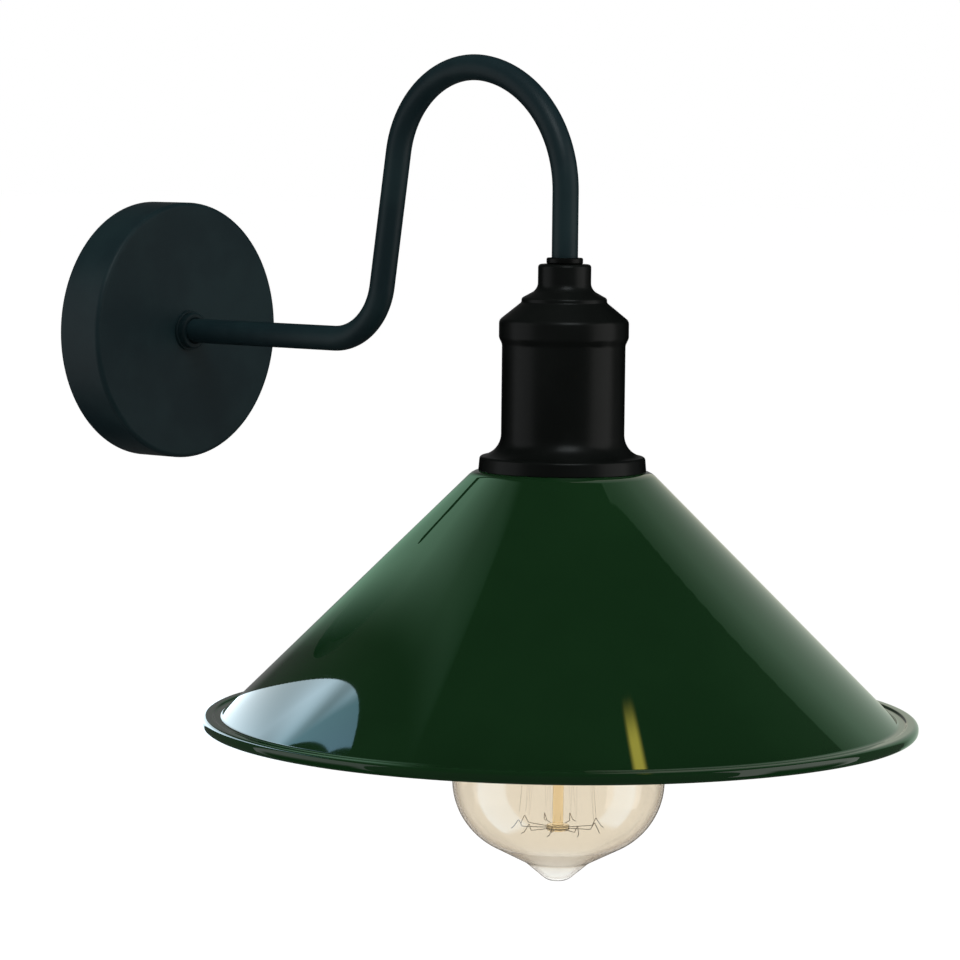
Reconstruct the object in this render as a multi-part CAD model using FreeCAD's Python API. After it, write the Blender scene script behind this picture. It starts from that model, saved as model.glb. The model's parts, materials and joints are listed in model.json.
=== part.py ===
import FreeCAD, Part
import math
import os

from FreeCAD import Vector

os.makedirs("parts", exist_ok=True)

# Gooseneck wall sconce. Millimetres, +Z up, the wall is the plane Y = 0 and the lamp stands out
# towards -Y. The origin is the centre of the round wall canopy on the wall.

# ---- Clearances and screws --------------------------------------------------------------------
thread_gap = 0.05        # radial, between a plain thread and the plain bore that it turns in
fit_gap = 0.1            # radial, between a piece and the hole that holds it
turning_gap = 0.3        # radial, between round faces that move past each other
screw_slot = 0.3         # width of a headless screw's slot, as a share of its diameter
head_slot = 1 / 6        # width of a headed screw's slot, as a share of its head

# ---- Wall canopy and strap --------------------------------------------------------------------
canopy_diameter = 100.0
canopy_depth = 20.0
canopy_wall = 1.2
canopy_edge = 1.8        # radius of the front edge
strap_width = 20.0
strap_thickness = 1.5
strap_corner_gap = 0.45  # from the corners of the strap's ears to the canopy's wall
ear_depth = 15.0         # how far the bent ears stand out from the wall
ear_bend = 2.5
slot_spacing = 60.0
slot_length = 12.0
slot_width = 4.6
cable_hole = 10.0
wing_reach = 38.0        # from the middle to the end of the side wing
wing_height = 18.0
wing_corner = 3.0
ear_hole_inset = 5.0     # from the ends of the ears to the set screws
grub_diameter = 3.9      # set screws that hold the canopy on the strap's ears
grub_below_face = 0.25
grub_length = 6.5
grub_socket = 2.0        # across flats
grub_edge = 0.4

# ---- Grommet, terminal block and earth --------------------------------------------------------
grommet_bore = 7.6
grommet_flange = 13.0
grommet_lip = 1.5
pole_spacing = 10.0
pole_count = 3
block_width = 14.0
block_depth = 11.0
block_inner_side = 14.0  # from the middle of the canopy to the near side of the block
block_ear = 1.5
block_pole_gap = 0.7     # half the slit between two pole housings
block_base_drop = 1.0    # from the poles' lines down to the top of the common base
block_well_floor = 2.0   # of plastic under the fixing screw's head
housing_shoulder = 3.0   # height of a pole housing's slanted sides
housing_taper = 1.2
housing_bend = 2.5
housing_edge = 0.8
sleeve_diameter = 5.0
sleeve_bore = 3.0
sleeve_inset = 1.0       # of a sleeve's ends in the block
pole_height = 5.5        # from the strap to the middle of a brass sleeve
pole_screw = 2.8
pole_screw_length = 4.6
pole_screw_spacing = 6.4
block_screw_diameter = 2.6
block_screw_head = 4.6
block_screw_head_height = 1.6
earth_screw_offset = 16.0
earth_screw_diameter = 3.9
earth_head_diameter = 7.4
earth_head_height = 2.4
earth_shank = 4.5
earth_washer_diameter = 8.6
earth_washer_thickness = 0.8
earth_washer_slit = 0.6
lug_ring = 8.4
lug_thickness = 0.8
lug_barrel = 3.6
lug_reach = 9.5
lug_lap = 1.2            # how far the lug's neck laps on its ring
lug_barrel_gap = 1.0     # from the ring to the barrel
lug_angle = 122.0        # direction of the lug's barrel, seen from the front

# ---- Arm --------------------------------------------------------------------------------------
tube_diameter = 9.5
tube_wall = 1.0
thread_diameter = 9.9
straight_out = 77.0      # from the canopy's face to the first bend
root_bend = 24.0
lean = 8.6               # degrees that the riser leans outwards
riser = 51.0
hook_radius = 36.5       # inner half of the hook
tip_radius = 45.0        # outer half of the hook
drop = 23.5              # straight tube from the hook to the lock ring
root_washer_diameter = 15.6
root_washer_thickness = 1.2
root_washer_edge = 0.4
root_collar_diameter = 14.0
root_collar_height = 2.6
root_collar_edge = 0.8
nut_flats = 14.0
nut_height = 3.0
nut_chamfer = 0.6
lock_washer_diameter = 17.0
lock_washer_thickness = 0.8
lock_washer_teeth = 10
lock_washer_notch = 1.8
thread_past_nut = 3.0
thread_run_out = 0.4     # from a thread's end to the outer face of the ring on it
thread_mouth = 0.3       # edge round a threaded bore
bush_bore = 6.0
bush_length = 5.0
bush_flange = 9.6
bush_lip = 1.0
bush_edge = 0.3

# ---- Wires ------------------------------------------------------------------------------------
wire_diameter = 2.2
conductor_diameter = 1.6
wire_offset = 1.5        # of each wire from the arm's middle line
wire_bend = 4.0
short_wire_bend = 2.0
bare_gap = 0.5           # from a wire's insulation to the terminal that it enters
block_run = 4.5          # straight run of a lamp wire out of the terminal block
earth_run = 3.0          # and of the short earth wire
bush_run = 1.0           # straight run of a lamp wire before the arm's bush
holder_run = 4.5         # straight run of a lamp wire below the arm
terminal_run = 6.5       # straight run of a lamp wire above the holder's terminal
lug_run = 2.4            # straight run of the earth wire before its lug
lug_bare_gap = 0.3
conductor_floor = 1.0    # under a conductor's end in the holder's terminal

# ---- Cup over the lamp holder -----------------------------------------------------------------
cup_height = 74.6
cup_wall = 1.0
cup_neck_diameter = 19.2
cup_neck_height = 9.1
cup_step_diameter = 30.9
cup_step_drop = 12.3     # from the top to the small step ring
cup_step_height = 1.5
cup_band_diameter = 46.9
cup_band_drop = 20.3     # from the top to the upper edge of the wide band
cup_band_height = 6.3
cup_band_flare = 2.4
cup_body_diameter = 44.6
cup_foot_diameter = 60.8
cup_foot_taper = 0.45
cup_foot_height = 5.1
cup_foot_rise = 1.35
cup_foot_sweep = 8.0     # radius of the sweep from the body to the foot
cup_foot_edge = 1.2
cup_band_curve = 3.0     # both bends under the band
cup_band_edge = 2.4
cup_step_foot = 1.0
cup_step_edge = 1.25
cup_neck_curve = 4.0
cup_top_edge = 1.2
lock_ring_diameter = 13.2
lock_ring_height = 2.3
lock_ring_edge = 0.6

# ---- Lamp holder, screwed on the arm's lower thread -------------------------------------------
skirt_below_seat = 14.4  # of the threaded skirt under the shade's top
holder_height = 70.0
skirt_diameter = 39.8
skirt_bore = 34.4
skirt_lip_bore = 31.2
skirt_lip_height = 5.0
skirt_neck_diameter = 37.8
skirt_neck_height = 9.0
skirt_edge = 1.0
skirt_lip_edge = 0.6
dome_diameter = 41.2
dome_height = 36.0
dome_boss_diameter = 17.0
dome_boss_height = 4.0
dome_shoulder_drop = 15.0
dome_wall = 1.8
dome_edge = 0.5
dome_shoulder_curve = 6.0
dome_boss_sweep = 3.0
dome_boss_foot = 2.0     # from the boss to the start of the shoulder's slope
dome_boss_edge = 0.8
dome_inner_foot = 1.0
dome_inner_curve = 4.0
dome_thread_floor = 1.3  # of the dome's thread under the arm's end
thread_entry = 10.0      # of the arm's thread into the dome
core_wall = 2.9
core_recess = 6.0
core_web = 6.0
core_gap = 0.2           # radial, between the core and the skirt
core_edge = 0.5
core_upper_wall = 1.93
core_below_neck = 2.0    # from the skirt's upper end down to the core's
shell_bore = 26.7        # inside of the screw shell
shell_wall = 0.4
shell_flange_bore = 19.0
shell_height = 22.5
shell_bend = 0.5         # inside radius of its top edge
holder_terminal = 6.0    # height of a brass terminal
holder_terminal_length = 8.0
holder_terminal_width = 5.0
holder_terminal_offset = 9.0
holder_terminal_edge = 0.5
holder_terminal_floor = 0.8
stud_diameter = 2.0
stud_head_diameter = 3.0
stud_head_height = 0.7
stud_head_edge = 0.3
live_stud_offset = 6.5
neutral_stud_offset = 11.2
holder_screw_diameter = 2.4
holder_screw_head = 4.2
holder_screw_head_height = 1.5
holder_screw_stand = 0.6 # of the screws' heads off the terminals
contact_width = 5.0
contact_thickness = 0.5
contact_drop = 3.0       # from the core's web to the bulb's end contact
contact_tail = 3.5
contact_lap = 0.4        # past the stud's head
contact_shoulder = 2.4   # from the stud to the bend
contact_bend = 0.8
contact_foot = 1.6       # half the flat that presses on the bulb
holder_grub_diameter = 2.8
holder_grub_drop = 0.2   # under the middle of the dome's boss
holder_grub_inset = 0.4
holder_grub_tip_gap = 0.1

# ---- Shade and its ring -----------------------------------------------------------------------
shade_diameter = 260.0
shade_height = 93.5
shade_top_diameter = 64.0
shade_sheet = 0.8
shade_shoulder = 6.0
shade_hole_gap = 0.6
cone_foot = 2.0          # bend from the cone to the gutter
bead_height = 4.4
bead_width = 4.1
bead_radius = 1.9
bead_inner_bend = 1.0
bead_return = 2.4        # height of the rolled edge's inner end above its underside
ledge_width = 2.5
ledge_depth = 0.8
ledge_corner = 1.2
shade_ring_height = 7.0
shade_ring_flange = 55.0
shade_ring_flange_thickness = 1.8
shade_ring_body = 46.0
shade_ring_edge = 0.5
shade_ring_body_edge = 0.8
grip_count = 24
grip_diameter = 2.6

# ---- Bulb -------------------------------------------------------------------------------------
bulb_diameter = 77.4
bulb_length = 161.7      # from the end contact to the glass tip
glass_wall = 0.7
neck_diameter = 24.8
neck_in_cap = 9.0        # of the glass inside the cap
shoulder_rise = 6.7      # from the straight stretch to the shoulder's corner
cap_diameter = 26.1
cap_wall = 0.25
cap_length = 26.5
cap_shoulder = 1.5
cap_lip = 2.5            # width of the cap's turned-in top
end_contact_diameter = 9.4
end_contact_height = 0.8
end_contact_edge = 0.5
insulator_height = 2.8
insulator_inset = 1.6    # from the cap's outside to the insulator's
insulator_edge = 0.3
insulator_shoulder = 1.5
insulator_rim = 0.8      # round the end contact
globe_radius = 27.0      # lower curve of the glass
belly_drop = 37.1        # from the widest part to the tip
belly_height = 9.3       # straight stretch of the widest part
belly_shoulder = 40.0
under_slope = 27.0       # degrees, underside of the glass
tip_slope = 40.0         # degrees, glass tip
tip_foot = 11.8          # radius where the tip begins
tip_round = 6.0
tip_hollow = 8.0
neck_sweep = 20.0
neck_straight = 5.0
stem_wall = 1.0
stem_tube_diameter = 10.0
stem_length = 36.0
stem_flare_height = 8.0
stem_flare_sweep = 5.0
stem_above_cap = 1.0     # of the flare's edge in the cap
stem_end_flat = 1.2
rod_diameter = 4.6
hub_diameter = 8.6
hub_height = 1.6
hub_edge = 0.5
rod_past_hub = 3.0
rod_tip_round = 1.5
hub_above_tip = 19.4
cage_height = 68.0
support_diameter = 0.6
lower_cage_radius = 17.0
upper_cage_radius = 12.0
cage_turns = 9           # lower supports, each with two strands
filament_diameter = 0.36
strand_inset = 0.8       # from the supports' ends to the strands
lead_inset = 2.2         # from the supports' ends to the leads
lead_foot_inset = 1.5    # from the stem's outside to the leads
lead_gap = 0.35          # from the leads' ends to the supports

# ---- Worked out from the above ----------------------------------------------------------------
canopy_bore = canopy_diameter / 2 - canopy_wall
strap_half = math.sqrt(canopy_bore ** 2 - (strap_width / 2) ** 2) - strap_corner_gap
nut_face = canopy_depth - canopy_wall - lock_washer_thickness
arm_start = nut_face - nut_height - thread_past_nut
tube_bore = tube_diameter - 2 * tube_wall
thread_bore = thread_diameter + 2 * thread_gap
skirt_bottom = -skirt_below_seat
dome_top = skirt_bottom + holder_height
dome_bottom = dome_top - dome_height
arm_end = dome_top - thread_entry
core_bottom = skirt_bottom + skirt_lip_height
core_top = dome_bottom + skirt_neck_height - core_below_neck
web_top = core_top - core_recess
web_bottom = web_top - core_web
core_diameter = skirt_bore - 2 * core_gap
bulb_top = web_bottom - contact_drop
cap_bottom = bulb_top - cap_length
glass_tip = bulb_top - bulb_length
pole_line = strap_thickness + pole_height
block_length = pole_spacing * pole_count + 2 * block_ear
block_middle = -block_inner_side - block_width / 2
block_screw_height = pole_spacing / 2
well_floor = strap_thickness + block_well_floor
ear_hole_height = ear_depth - ear_hole_inset
holder_grub_height = dome_top - dome_boss_height / 2 - holder_grub_drop


# ---- Outlines and turned, swept and placed shapes ---------------------------------------------
def rounded(corners, closed):
    """Lines through the corners, each a point and a radius, with an arc where a radius is given."""
    stretches = []
    last = len(corners) - 1
    for index, (here, radius) in enumerate(corners):
        if radius == 0 or (not closed and index in (0, last)):
            stretches.append((here, None, here))
            continue
        back = (corners[index - 1][0] - here).normalize()
        ahead = (corners[(index + 1) % len(corners)][0] - here).normalize()
        half = back.getAngle(ahead) / 2
        cut = radius / math.tan(half)
        middle = here + (back + ahead).normalize() * (radius / math.sin(half) - radius)
        stretches.append((here + back * cut, middle, here + ahead * cut))
    edges = []
    for index, (start, middle, end) in enumerate(stretches):
        if middle is not None:
            edges.append(Part.Arc(start, middle, end).toShape())
        following = stretches[(index + 1) % len(stretches)][0]
        if (index < last or closed) and end.distanceToPoint(following) > 0.0001:
            edges.append(Part.LineSegment(end, following).toShape())
    return edges


def section(points):
    """Corners in the XZ plane from (radius from the axis, height) or (..., corner radius)."""
    corners = []
    for point in points:
        corner_radius = point[2] if len(point) > 2 else 0
        corners.append((Vector(point[0], 0, point[1]), corner_radius))
    return corners


def turned(*points):
    """A solid turned about Z from a closed outline."""
    face = Part.Face(Part.Wire(rounded(section(points), True)))
    return face.revolve(Vector(0, 0, 0), Vector(0, 0, 1), 360)


def sheet_section(points, wall):
    """A strip along an open line, on its left where wall is above zero and else on its right."""
    line = Part.Wire(rounded(section(points), False))
    return line.makeOffset2D(wall, 0, True, True, False)


def turned_sheet(points, wall):
    """A thin shell turned about Z from the line of one of its sides."""
    return sheet_section(points, wall).revolve(Vector(0, 0, 0), Vector(0, 0, 1), 360)


def ring(outer, inner, bottom, top):
    """A plain ring between two diameters."""
    return turned((inner / 2, bottom), (outer / 2, bottom), (outer / 2, top), (inner / 2, top))


def rod(diameter, start, end):
    """A round bar from one point to another."""
    start = Vector(*start)
    end = Vector(*end)
    return Part.makeCylinder(diameter / 2, start.distanceToPoint(end), start, end - start)


def box(low, high):
    """A block between its lowest and its highest corner."""
    low = Vector(*low)
    high = Vector(*high)
    return Part.makeBox(high.x - low.x, high.y - low.y, high.z - low.z, low)


def hexagon(flats, bottom, top, turn=0.0):
    """A six-sided prism about Z."""
    points = []
    for index in range(7):
        angle = math.radians(60 * index + turn)
        reach = flats / 2 / math.cos(math.radians(30))
        points.append(Vector(reach * math.cos(angle), reach * math.sin(angle), bottom))
    return Part.Face(Part.makePolygon(points)).extrude(Vector(0, 0, top - bottom))


def piped(edges, diameter):
    """A round tube's solid along a line of edges."""
    line = Part.Wire(edges)
    first = line.OrderedEdges[0]
    start = first.valueAt(first.FirstParameter)
    heading = first.tangentAt(first.FirstParameter)
    round_end = Part.Wire(Part.makeCircle(diameter / 2, start, heading))
    return line.makePipeShell([round_end], True, False)


def copies(shape, count, whole=360.0):
    """The shape and its copies round Z."""
    made = []
    for index in range(count):
        piece = shape.copy()
        piece.rotate(Vector(0, 0, 0), Vector(0, 0, 1), whole / count * index)
        made.append(piece)
    return made


def group(shapes):
    """Separate solids of one node."""
    return Part.makeCompound(shapes)


def on_wall(shape):
    """From a frame with X across, Y up and Z out of the wall."""
    shape.rotate(Vector(0, 0, 0), Vector(1, 0, 0), 90)
    return shape


def on_lamp(shape):
    """From a frame on the lamp's axis with its origin at the top of the shade."""
    shape.translate(Vector(0, -reach, seat_height))
    return shape


# ---- The arm's line ---------------------------------------------------------------------------
def arm_line(start, offset, last_run):
    """Edges of the gooseneck's line, moved by offset towards its left, and the end of its hook."""
    steps = [
        ("run", canopy_depth + straight_out - start),
        ("bend", root_bend, 90 - lean),
        ("run", riser),
        ("bend", hook_radius, -90),
        ("bend", tip_radius, lean - 90),
        ("run", last_run),
    ]
    out, up, heading = start, offset, 0.0
    edges = []
    hook_end = None
    for step in steps:
        here = Vector(0, -out, up)
        angle = math.radians(heading)
        if step[0] == "run":
            hook_end = (out, up)
            out += step[1] * math.cos(angle)
            up += step[1] * math.sin(angle)
            edges.append(Part.LineSegment(here, Vector(0, -out, up)).toShape())
            continue
        side = 1 if step[2] > 0 else -1
        radius = step[1] - side * offset
        centre_out = out - side * radius * math.sin(angle)
        centre_up = up + side * radius * math.cos(angle)
        points = []
        for share in (0.5, 1.0):
            turned_to = math.radians(heading + step[2] * share)
            point_out = centre_out + side * radius * math.sin(turned_to)
            point_up = centre_up - side * radius * math.cos(turned_to)
            points.append((point_out, point_up))
        middle = Vector(0, -points[0][0], points[0][1])
        end = Vector(0, -points[1][0], points[1][1])
        edges.append(Part.Arc(here, middle, end).toShape())
        out, up = points[1]
        heading += step[2]
    return edges, hook_end


reach, hook_height = arm_line(arm_start, 0.0, 1.0)[1]
seat_height = hook_height - drop - lock_ring_height - cup_height
last_run = hook_height - (seat_height + arm_end)


# ---- Wall canopy ------------------------------------------------------------------------------
def wall_strap():
    """Steel crossbar with slots, a side wing for the terminal block and two bent, tapped ears."""
    line = [
        (-strap_half, ear_depth),
        (-strap_half, 0, ear_bend),
        (strap_half, 0, ear_bend),
        (strap_half, ear_depth),
    ]
    bar = sheet_section(line, strap_thickness).extrude(Vector(0, strap_width, 0))
    bar.translate(Vector(0, -strap_width / 2, 0))
    bar.rotate(Vector(0, 0, 0), Vector(0, 0, 1), 90)
    wing = box((-wing_reach, -wing_height / 2, 0), (0, wing_height / 2, strap_thickness))
    upright = [e for e in wing.Edges if e.BoundBox.ZLength > strap_thickness / 2]
    corners = [e for e in upright if e.BoundBox.XMax < -wing_reach / 2]
    strap = bar.fuse(wing.makeFillet(wing_corner, corners)).removeSplitter()
    cuts = [rod(cable_hole, (0, 0, -1), (0, 0, strap_thickness + 1))]
    for side in (-1, 1):
        low = side * slot_spacing / 2 - (slot_length - slot_width) / 2
        high = low + slot_length - slot_width
        slot = box((-slot_width / 2, low, -1), (slot_width / 2, high, strap_thickness + 1))
        for end in (low, high):
            slot = slot.fuse(rod(slot_width, (0, end, -1), (0, end, strap_thickness + 1)))
        cuts.append(slot)
    hole = grub_diameter + 2 * thread_gap
    cuts.append(rod(hole, (0, -strap_half - 1, ear_hole_height), (0, strap_half + 1, ear_hole_height)))
    earth = earth_screw_diameter + 2 * thread_gap
    cuts.append(rod(earth, (0, -earth_screw_offset, -1), (0, -earth_screw_offset, strap_thickness + 1)))
    block_hole = block_screw_diameter + 2 * thread_gap
    here = (block_middle, block_screw_height)
    cuts.append(rod(block_hole, (*here, -1), (*here, strap_thickness + 1)))
    return on_wall(strap.cut(cuts))


def canopy():
    """Round pressed cover with an open back and a hole for the arm."""
    outer = canopy_diameter / 2
    hole = thread_diameter / 2 + fit_gap
    cover = turned(
        (outer, 0),
        (outer, canopy_depth, canopy_edge),
        (hole, canopy_depth),
        (hole, canopy_depth - canopy_wall),
        (canopy_bore, canopy_depth - canopy_wall, canopy_edge - canopy_wall),
        (canopy_bore, 0),
    )
    side_hole = grub_diameter + 2 * fit_gap
    side = rod(side_hole, (0, -outer - 1, ear_hole_height), (0, outer + 1, ear_hole_height))
    return on_wall(cover.cut(side))


def canopy_screws():
    """Two flush set screws, at the top and bottom of the canopy."""
    tip = canopy_diameter / 2 - grub_below_face
    body = turned(
        (0, tip - grub_length),
        (grub_diameter / 2, tip - grub_length, grub_edge),
        (grub_diameter / 2, tip, grub_edge / 2),
        (0, tip),
    )
    body = body.cut(hexagon(grub_socket, tip - grub_socket, tip + 1))
    upper = body.copy()
    upper.rotate(Vector(0, 0, 0), Vector(1, 0, 0), -90)
    lower = body.copy()
    lower.rotate(Vector(0, 0, 0), Vector(1, 0, 0), 90)
    for piece in (upper, lower):
        piece.translate(Vector(0, 0, ear_hole_height))
    return on_wall(group([upper, lower]))


def cable_grommet():
    """Rubber grommet in the strap's middle hole, where the house cable comes in."""
    waist = cable_hole / 2 - fit_gap
    flange = grommet_flange / 2
    shape = turned(
        (grommet_bore / 2, 0),
        (waist, 0),
        (waist, strap_thickness),
        (flange, strap_thickness),
        (flange, strap_thickness + grommet_lip, grommet_lip / 2),
        (grommet_bore / 2, strap_thickness + grommet_lip, grommet_lip / 2),
    )
    return on_wall(shape)


# ---- Terminal block and earth -----------------------------------------------------------------
def pole_places():
    """Height of each pole's line on the block, from the top one down."""
    return [pole_spacing * ((pole_count - 1) / 2 - index) for index in range(pole_count)]


def pole_screw_places():
    """Where the clamping screws stand: two in a row on each pole."""
    places = []
    for up in pole_places():
        for side in (-1, 1):
            places.append((block_middle + side * pole_screw_spacing / 2, up))
    return places


def terminal_block():
    """Insulating three-pole block: a rounded housing for each pole, on a common base."""
    left = block_middle - block_width / 2
    right = block_middle + block_width / 2
    base_top = pole_line - block_base_drop
    block = box((left, -block_length / 2, strap_thickness), (right, block_length / 2, base_top))
    top = strap_thickness + block_depth
    shoulder = top - housing_shoulder
    half = pole_spacing / 2 - block_pole_gap
    for up in pole_places():
        outline = rounded([
            (Vector(left, up - half, base_top), 0),
            (Vector(left, up - half, shoulder), housing_bend),
            (Vector(left, up - half + housing_taper, top), housing_edge),
            (Vector(left, up + half - housing_taper, top), housing_edge),
            (Vector(left, up + half, shoulder), housing_bend),
            (Vector(left, up + half, base_top), 0),
        ], True)
        block = block.fuse(Part.Face(Part.Wire(outline)).extrude(Vector(block_width, 0, 0)))
    block = block.removeSplitter()
    cuts = []
    for up in pole_places():
        line = (left - 1, up, pole_line), (right + 1, up, pole_line)
        cuts.append(rod(sleeve_diameter + 2 * fit_gap, *line))
    for across, up in pole_screw_places():
        cuts.append(rod(pole_screw + 4 * fit_gap, (across, up, pole_line), (across, up, top + 1)))
    well = (block_middle, block_screw_height)
    cuts.append(rod(block_screw_head + 2 * fit_gap, (*well, well_floor), (*well, top + 1)))
    cuts.append(rod(block_screw_diameter + 2 * fit_gap, (*well, 0), (*well, well_floor + 1)))
    return on_wall(block.cut(cuts))


def terminal_sleeves():
    """Brass sleeves of the block, bored for the wires and drilled for the clamping screws."""
    sleeves = []
    half = block_width / 2 - sleeve_inset
    hole_size = pole_screw + 2 * thread_gap
    hole_top = pole_line + sleeve_diameter
    for up in pole_places():
        start = (block_middle - half, up, pole_line)
        end = (block_middle + half, up, pole_line)
        sleeve = rod(sleeve_diameter, start, end).cut(rod(sleeve_bore, start, end))
        for across, upward in pole_screw_places():
            if upward == up:
                hole = rod(hole_size, (across, up, pole_line), (across, up, hole_top))
                sleeve = sleeve.cut(hole)
        sleeves.append(sleeve)
    return on_wall(group(sleeves))


def slotted_screw(diameter, length):
    """A headless screw from the origin down, with a driver slot across its top."""
    screw = turned((0, -length), (diameter / 2, -length, diameter / 8), (diameter / 2, 0), (0, 0))
    wide = diameter * screw_slot / 2
    return screw.cut(box((-diameter, -wide, -diameter / 3), (diameter, wide, 1)))


def headed_screw(diameter, shank, head, head_height):
    """A cheese-head screw with its shank down from the origin and its head above it."""
    screw = turned(
        (0, -shank),
        (diameter / 2, -shank, diameter / 8),
        (diameter / 2, 0),
        (head / 2, 0),
        (head / 2, head_height, head_height / 3),
        (0, head_height),
    )
    wide = head * head_slot / 2
    return screw.cut(box((-head, -wide, head_height / 2), (head, wide, head_height + 1)))


def terminal_screws():
    """Six clamping screws, two for each pole of the block."""
    bottom = pole_line + conductor_diameter / 2 + fit_gap
    screws = []
    for across, up in pole_screw_places():
        screw = slotted_screw(pole_screw, pole_screw_length)
        screw.translate(Vector(across, up, bottom + pole_screw_length))
        screws.append(screw)
    return on_wall(group(screws))


def block_screw():
    """Screw that holds the terminal block on the strap's wing."""
    shank = well_floor
    screw = headed_screw(block_screw_diameter, shank, block_screw_head, block_screw_head_height)
    screw.translate(Vector(block_middle, block_screw_height, well_floor))
    return on_wall(screw)


def earth_stack():
    """Heights of the earth lug's, the washer's and the screw head's undersides above the wall."""
    lug = strap_thickness
    washer = lug + lug_thickness
    head = washer + earth_washer_thickness
    return lug, washer, head


def earth_lug():
    """Crimped ring terminal under the earth screw."""
    bottom = earth_stack()[0]
    hole = earth_screw_diameter + 2 * fit_gap
    lug = ring(lug_ring, hole, bottom, bottom + lug_thickness)
    near_corner = (lug_ring / 2 - lug_lap, -lug_barrel / 2, bottom)
    neck = box(near_corner, (lug_reach, lug_barrel / 2, bottom + lug_thickness))
    middle = bottom + lug_barrel / 2
    start = lug_ring / 2 + lug_barrel_gap
    barrel = rod(lug_barrel, (start, 0, middle), (lug_reach, 0, middle))
    wire_hole = conductor_diameter + 2 * fit_gap
    bore = rod(wire_hole, (start - 1, 0, middle), (lug_reach + 1, 0, middle))
    lug = lug.fuse([neck, barrel]).cut(bore).removeSplitter()
    lug.rotate(Vector(0, 0, 0), Vector(0, 0, 1), lug_angle)
    lug.translate(Vector(0, -earth_screw_offset, 0))
    return on_wall(lug)


def earth_washer():
    """Spring washer between the earth screw's head and the lug."""
    bottom = earth_stack()[1]
    hole = earth_screw_diameter + 2 * fit_gap
    washer = ring(earth_washer_diameter, hole, bottom, bottom + earth_washer_thickness)
    slit = earth_washer_slit / 2
    washer = washer.cut(box((0, -slit, bottom - 1), (earth_washer_diameter, slit, bottom + 2)))
    washer.translate(Vector(0, -earth_screw_offset, 0))
    return on_wall(washer)


def earth_screw():
    """Screw that clamps the earth lug on the strap."""
    screw = headed_screw(earth_screw_diameter, earth_shank, earth_head_diameter, earth_head_height)
    screw.translate(Vector(0, -earth_screw_offset, earth_stack()[2]))
    return on_wall(screw)


# ---- Arm and what fastens it to the canopy ----------------------------------------------------
def arm_tube():
    """Bent steel tube with a rolled thread at each end."""
    edges = arm_line(arm_start, 0.0, last_run)[0]
    tube = piped(edges, tube_diameter)
    root_end = canopy_depth + root_washer_thickness + root_collar_height - thread_run_out
    tube = tube.fuse(rod(thread_diameter, (0, -arm_start, 0), (0, -root_end, 0)))
    lower = seat_height + arm_end
    upper = seat_height + cup_height + lock_ring_height - thread_run_out
    tube = tube.fuse(rod(thread_diameter, (0, -reach, lower), (0, -reach, upper)))
    return tube.cut(piped(edges, tube_bore)).removeSplitter()


def root_washer():
    """Flat washer between the canopy's face and the collar."""
    top = canopy_depth + root_washer_thickness
    washer = turned(
        (thread_bore / 2, canopy_depth),
        (root_washer_diameter / 2, canopy_depth),
        (root_washer_diameter / 2, top, root_washer_edge),
        (thread_bore / 2, top),
    )
    return on_wall(washer)


def root_collar():
    """Round threaded collar that closes on the washer and the canopy."""
    bottom = canopy_depth + root_washer_thickness
    top = bottom + root_collar_height
    collar = turned(
        (thread_bore / 2, bottom),
        (root_collar_diameter / 2, bottom),
        (root_collar_diameter / 2, top, root_collar_edge),
        (thread_bore / 2, top, thread_mouth),
    )
    return on_wall(collar)


def hex_nut(bottom):
    """Thin nut for the tube's thread, with its corners turned off."""
    top = bottom + nut_height
    corner = nut_flats / 2 / math.cos(math.radians(30))
    nut = hexagon(nut_flats, bottom, top)
    chamfered = turned(
        (thread_bore / 2, bottom),
        (corner - nut_chamfer, bottom),
        (corner, bottom + nut_chamfer),
        (corner, top - nut_chamfer),
        (corner - nut_chamfer, top),
        (thread_bore / 2, top),
    )
    return nut.common(chamfered)


def arm_lock_nut():
    """Nut inside the canopy that pulls the collar against it."""
    return on_wall(hex_nut(nut_face - nut_height))


def arm_lock_washer():
    """Toothed washer under the arm's nut."""
    bottom = nut_face
    washer = ring(lock_washer_diameter, thread_bore, bottom, bottom + lock_washer_thickness)
    rim = lock_washer_diameter / 2
    notch = rod(lock_washer_notch, (rim, 0, bottom - 1), (rim, 0, bottom + 2))
    return on_wall(washer.cut(copies(notch, lock_washer_teeth)))


def bush(end):
    """Insulating bush whose lip stands below the end of a tube that comes from above."""
    sleeve = tube_bore / 2 - thread_gap
    return turned(
        (bush_bore / 2, end - bush_lip, bush_edge),
        (bush_flange / 2, end - bush_lip, bush_edge),
        (bush_flange / 2, end),
        (sleeve, end),
        (sleeve, end + bush_length),
        (bush_bore / 2, end + bush_length),
    )


def arm_bushes():
    """Insulating bushes in both ends of the arm, where the wires go in and out."""
    return group([on_wall(bush(arm_start)), on_lamp(bush(arm_end))])


# ---- Wires ------------------------------------------------------------------------------------
def joined_wire(edges, tips):
    """A wire's insulation along a line, with bare conductors beyond its ends."""
    wire = piped(edges, wire_diameter)
    for start, end in tips:
        wire = wire.fuse(rod(conductor_diameter, start, end))
    return wire.removeSplitter()


def under_screw():
    """Where a conductor ends in the terminal block, past the near clamping screw."""
    return block_middle + pole_screw_spacing / 2 - pole_screw / 2


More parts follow.
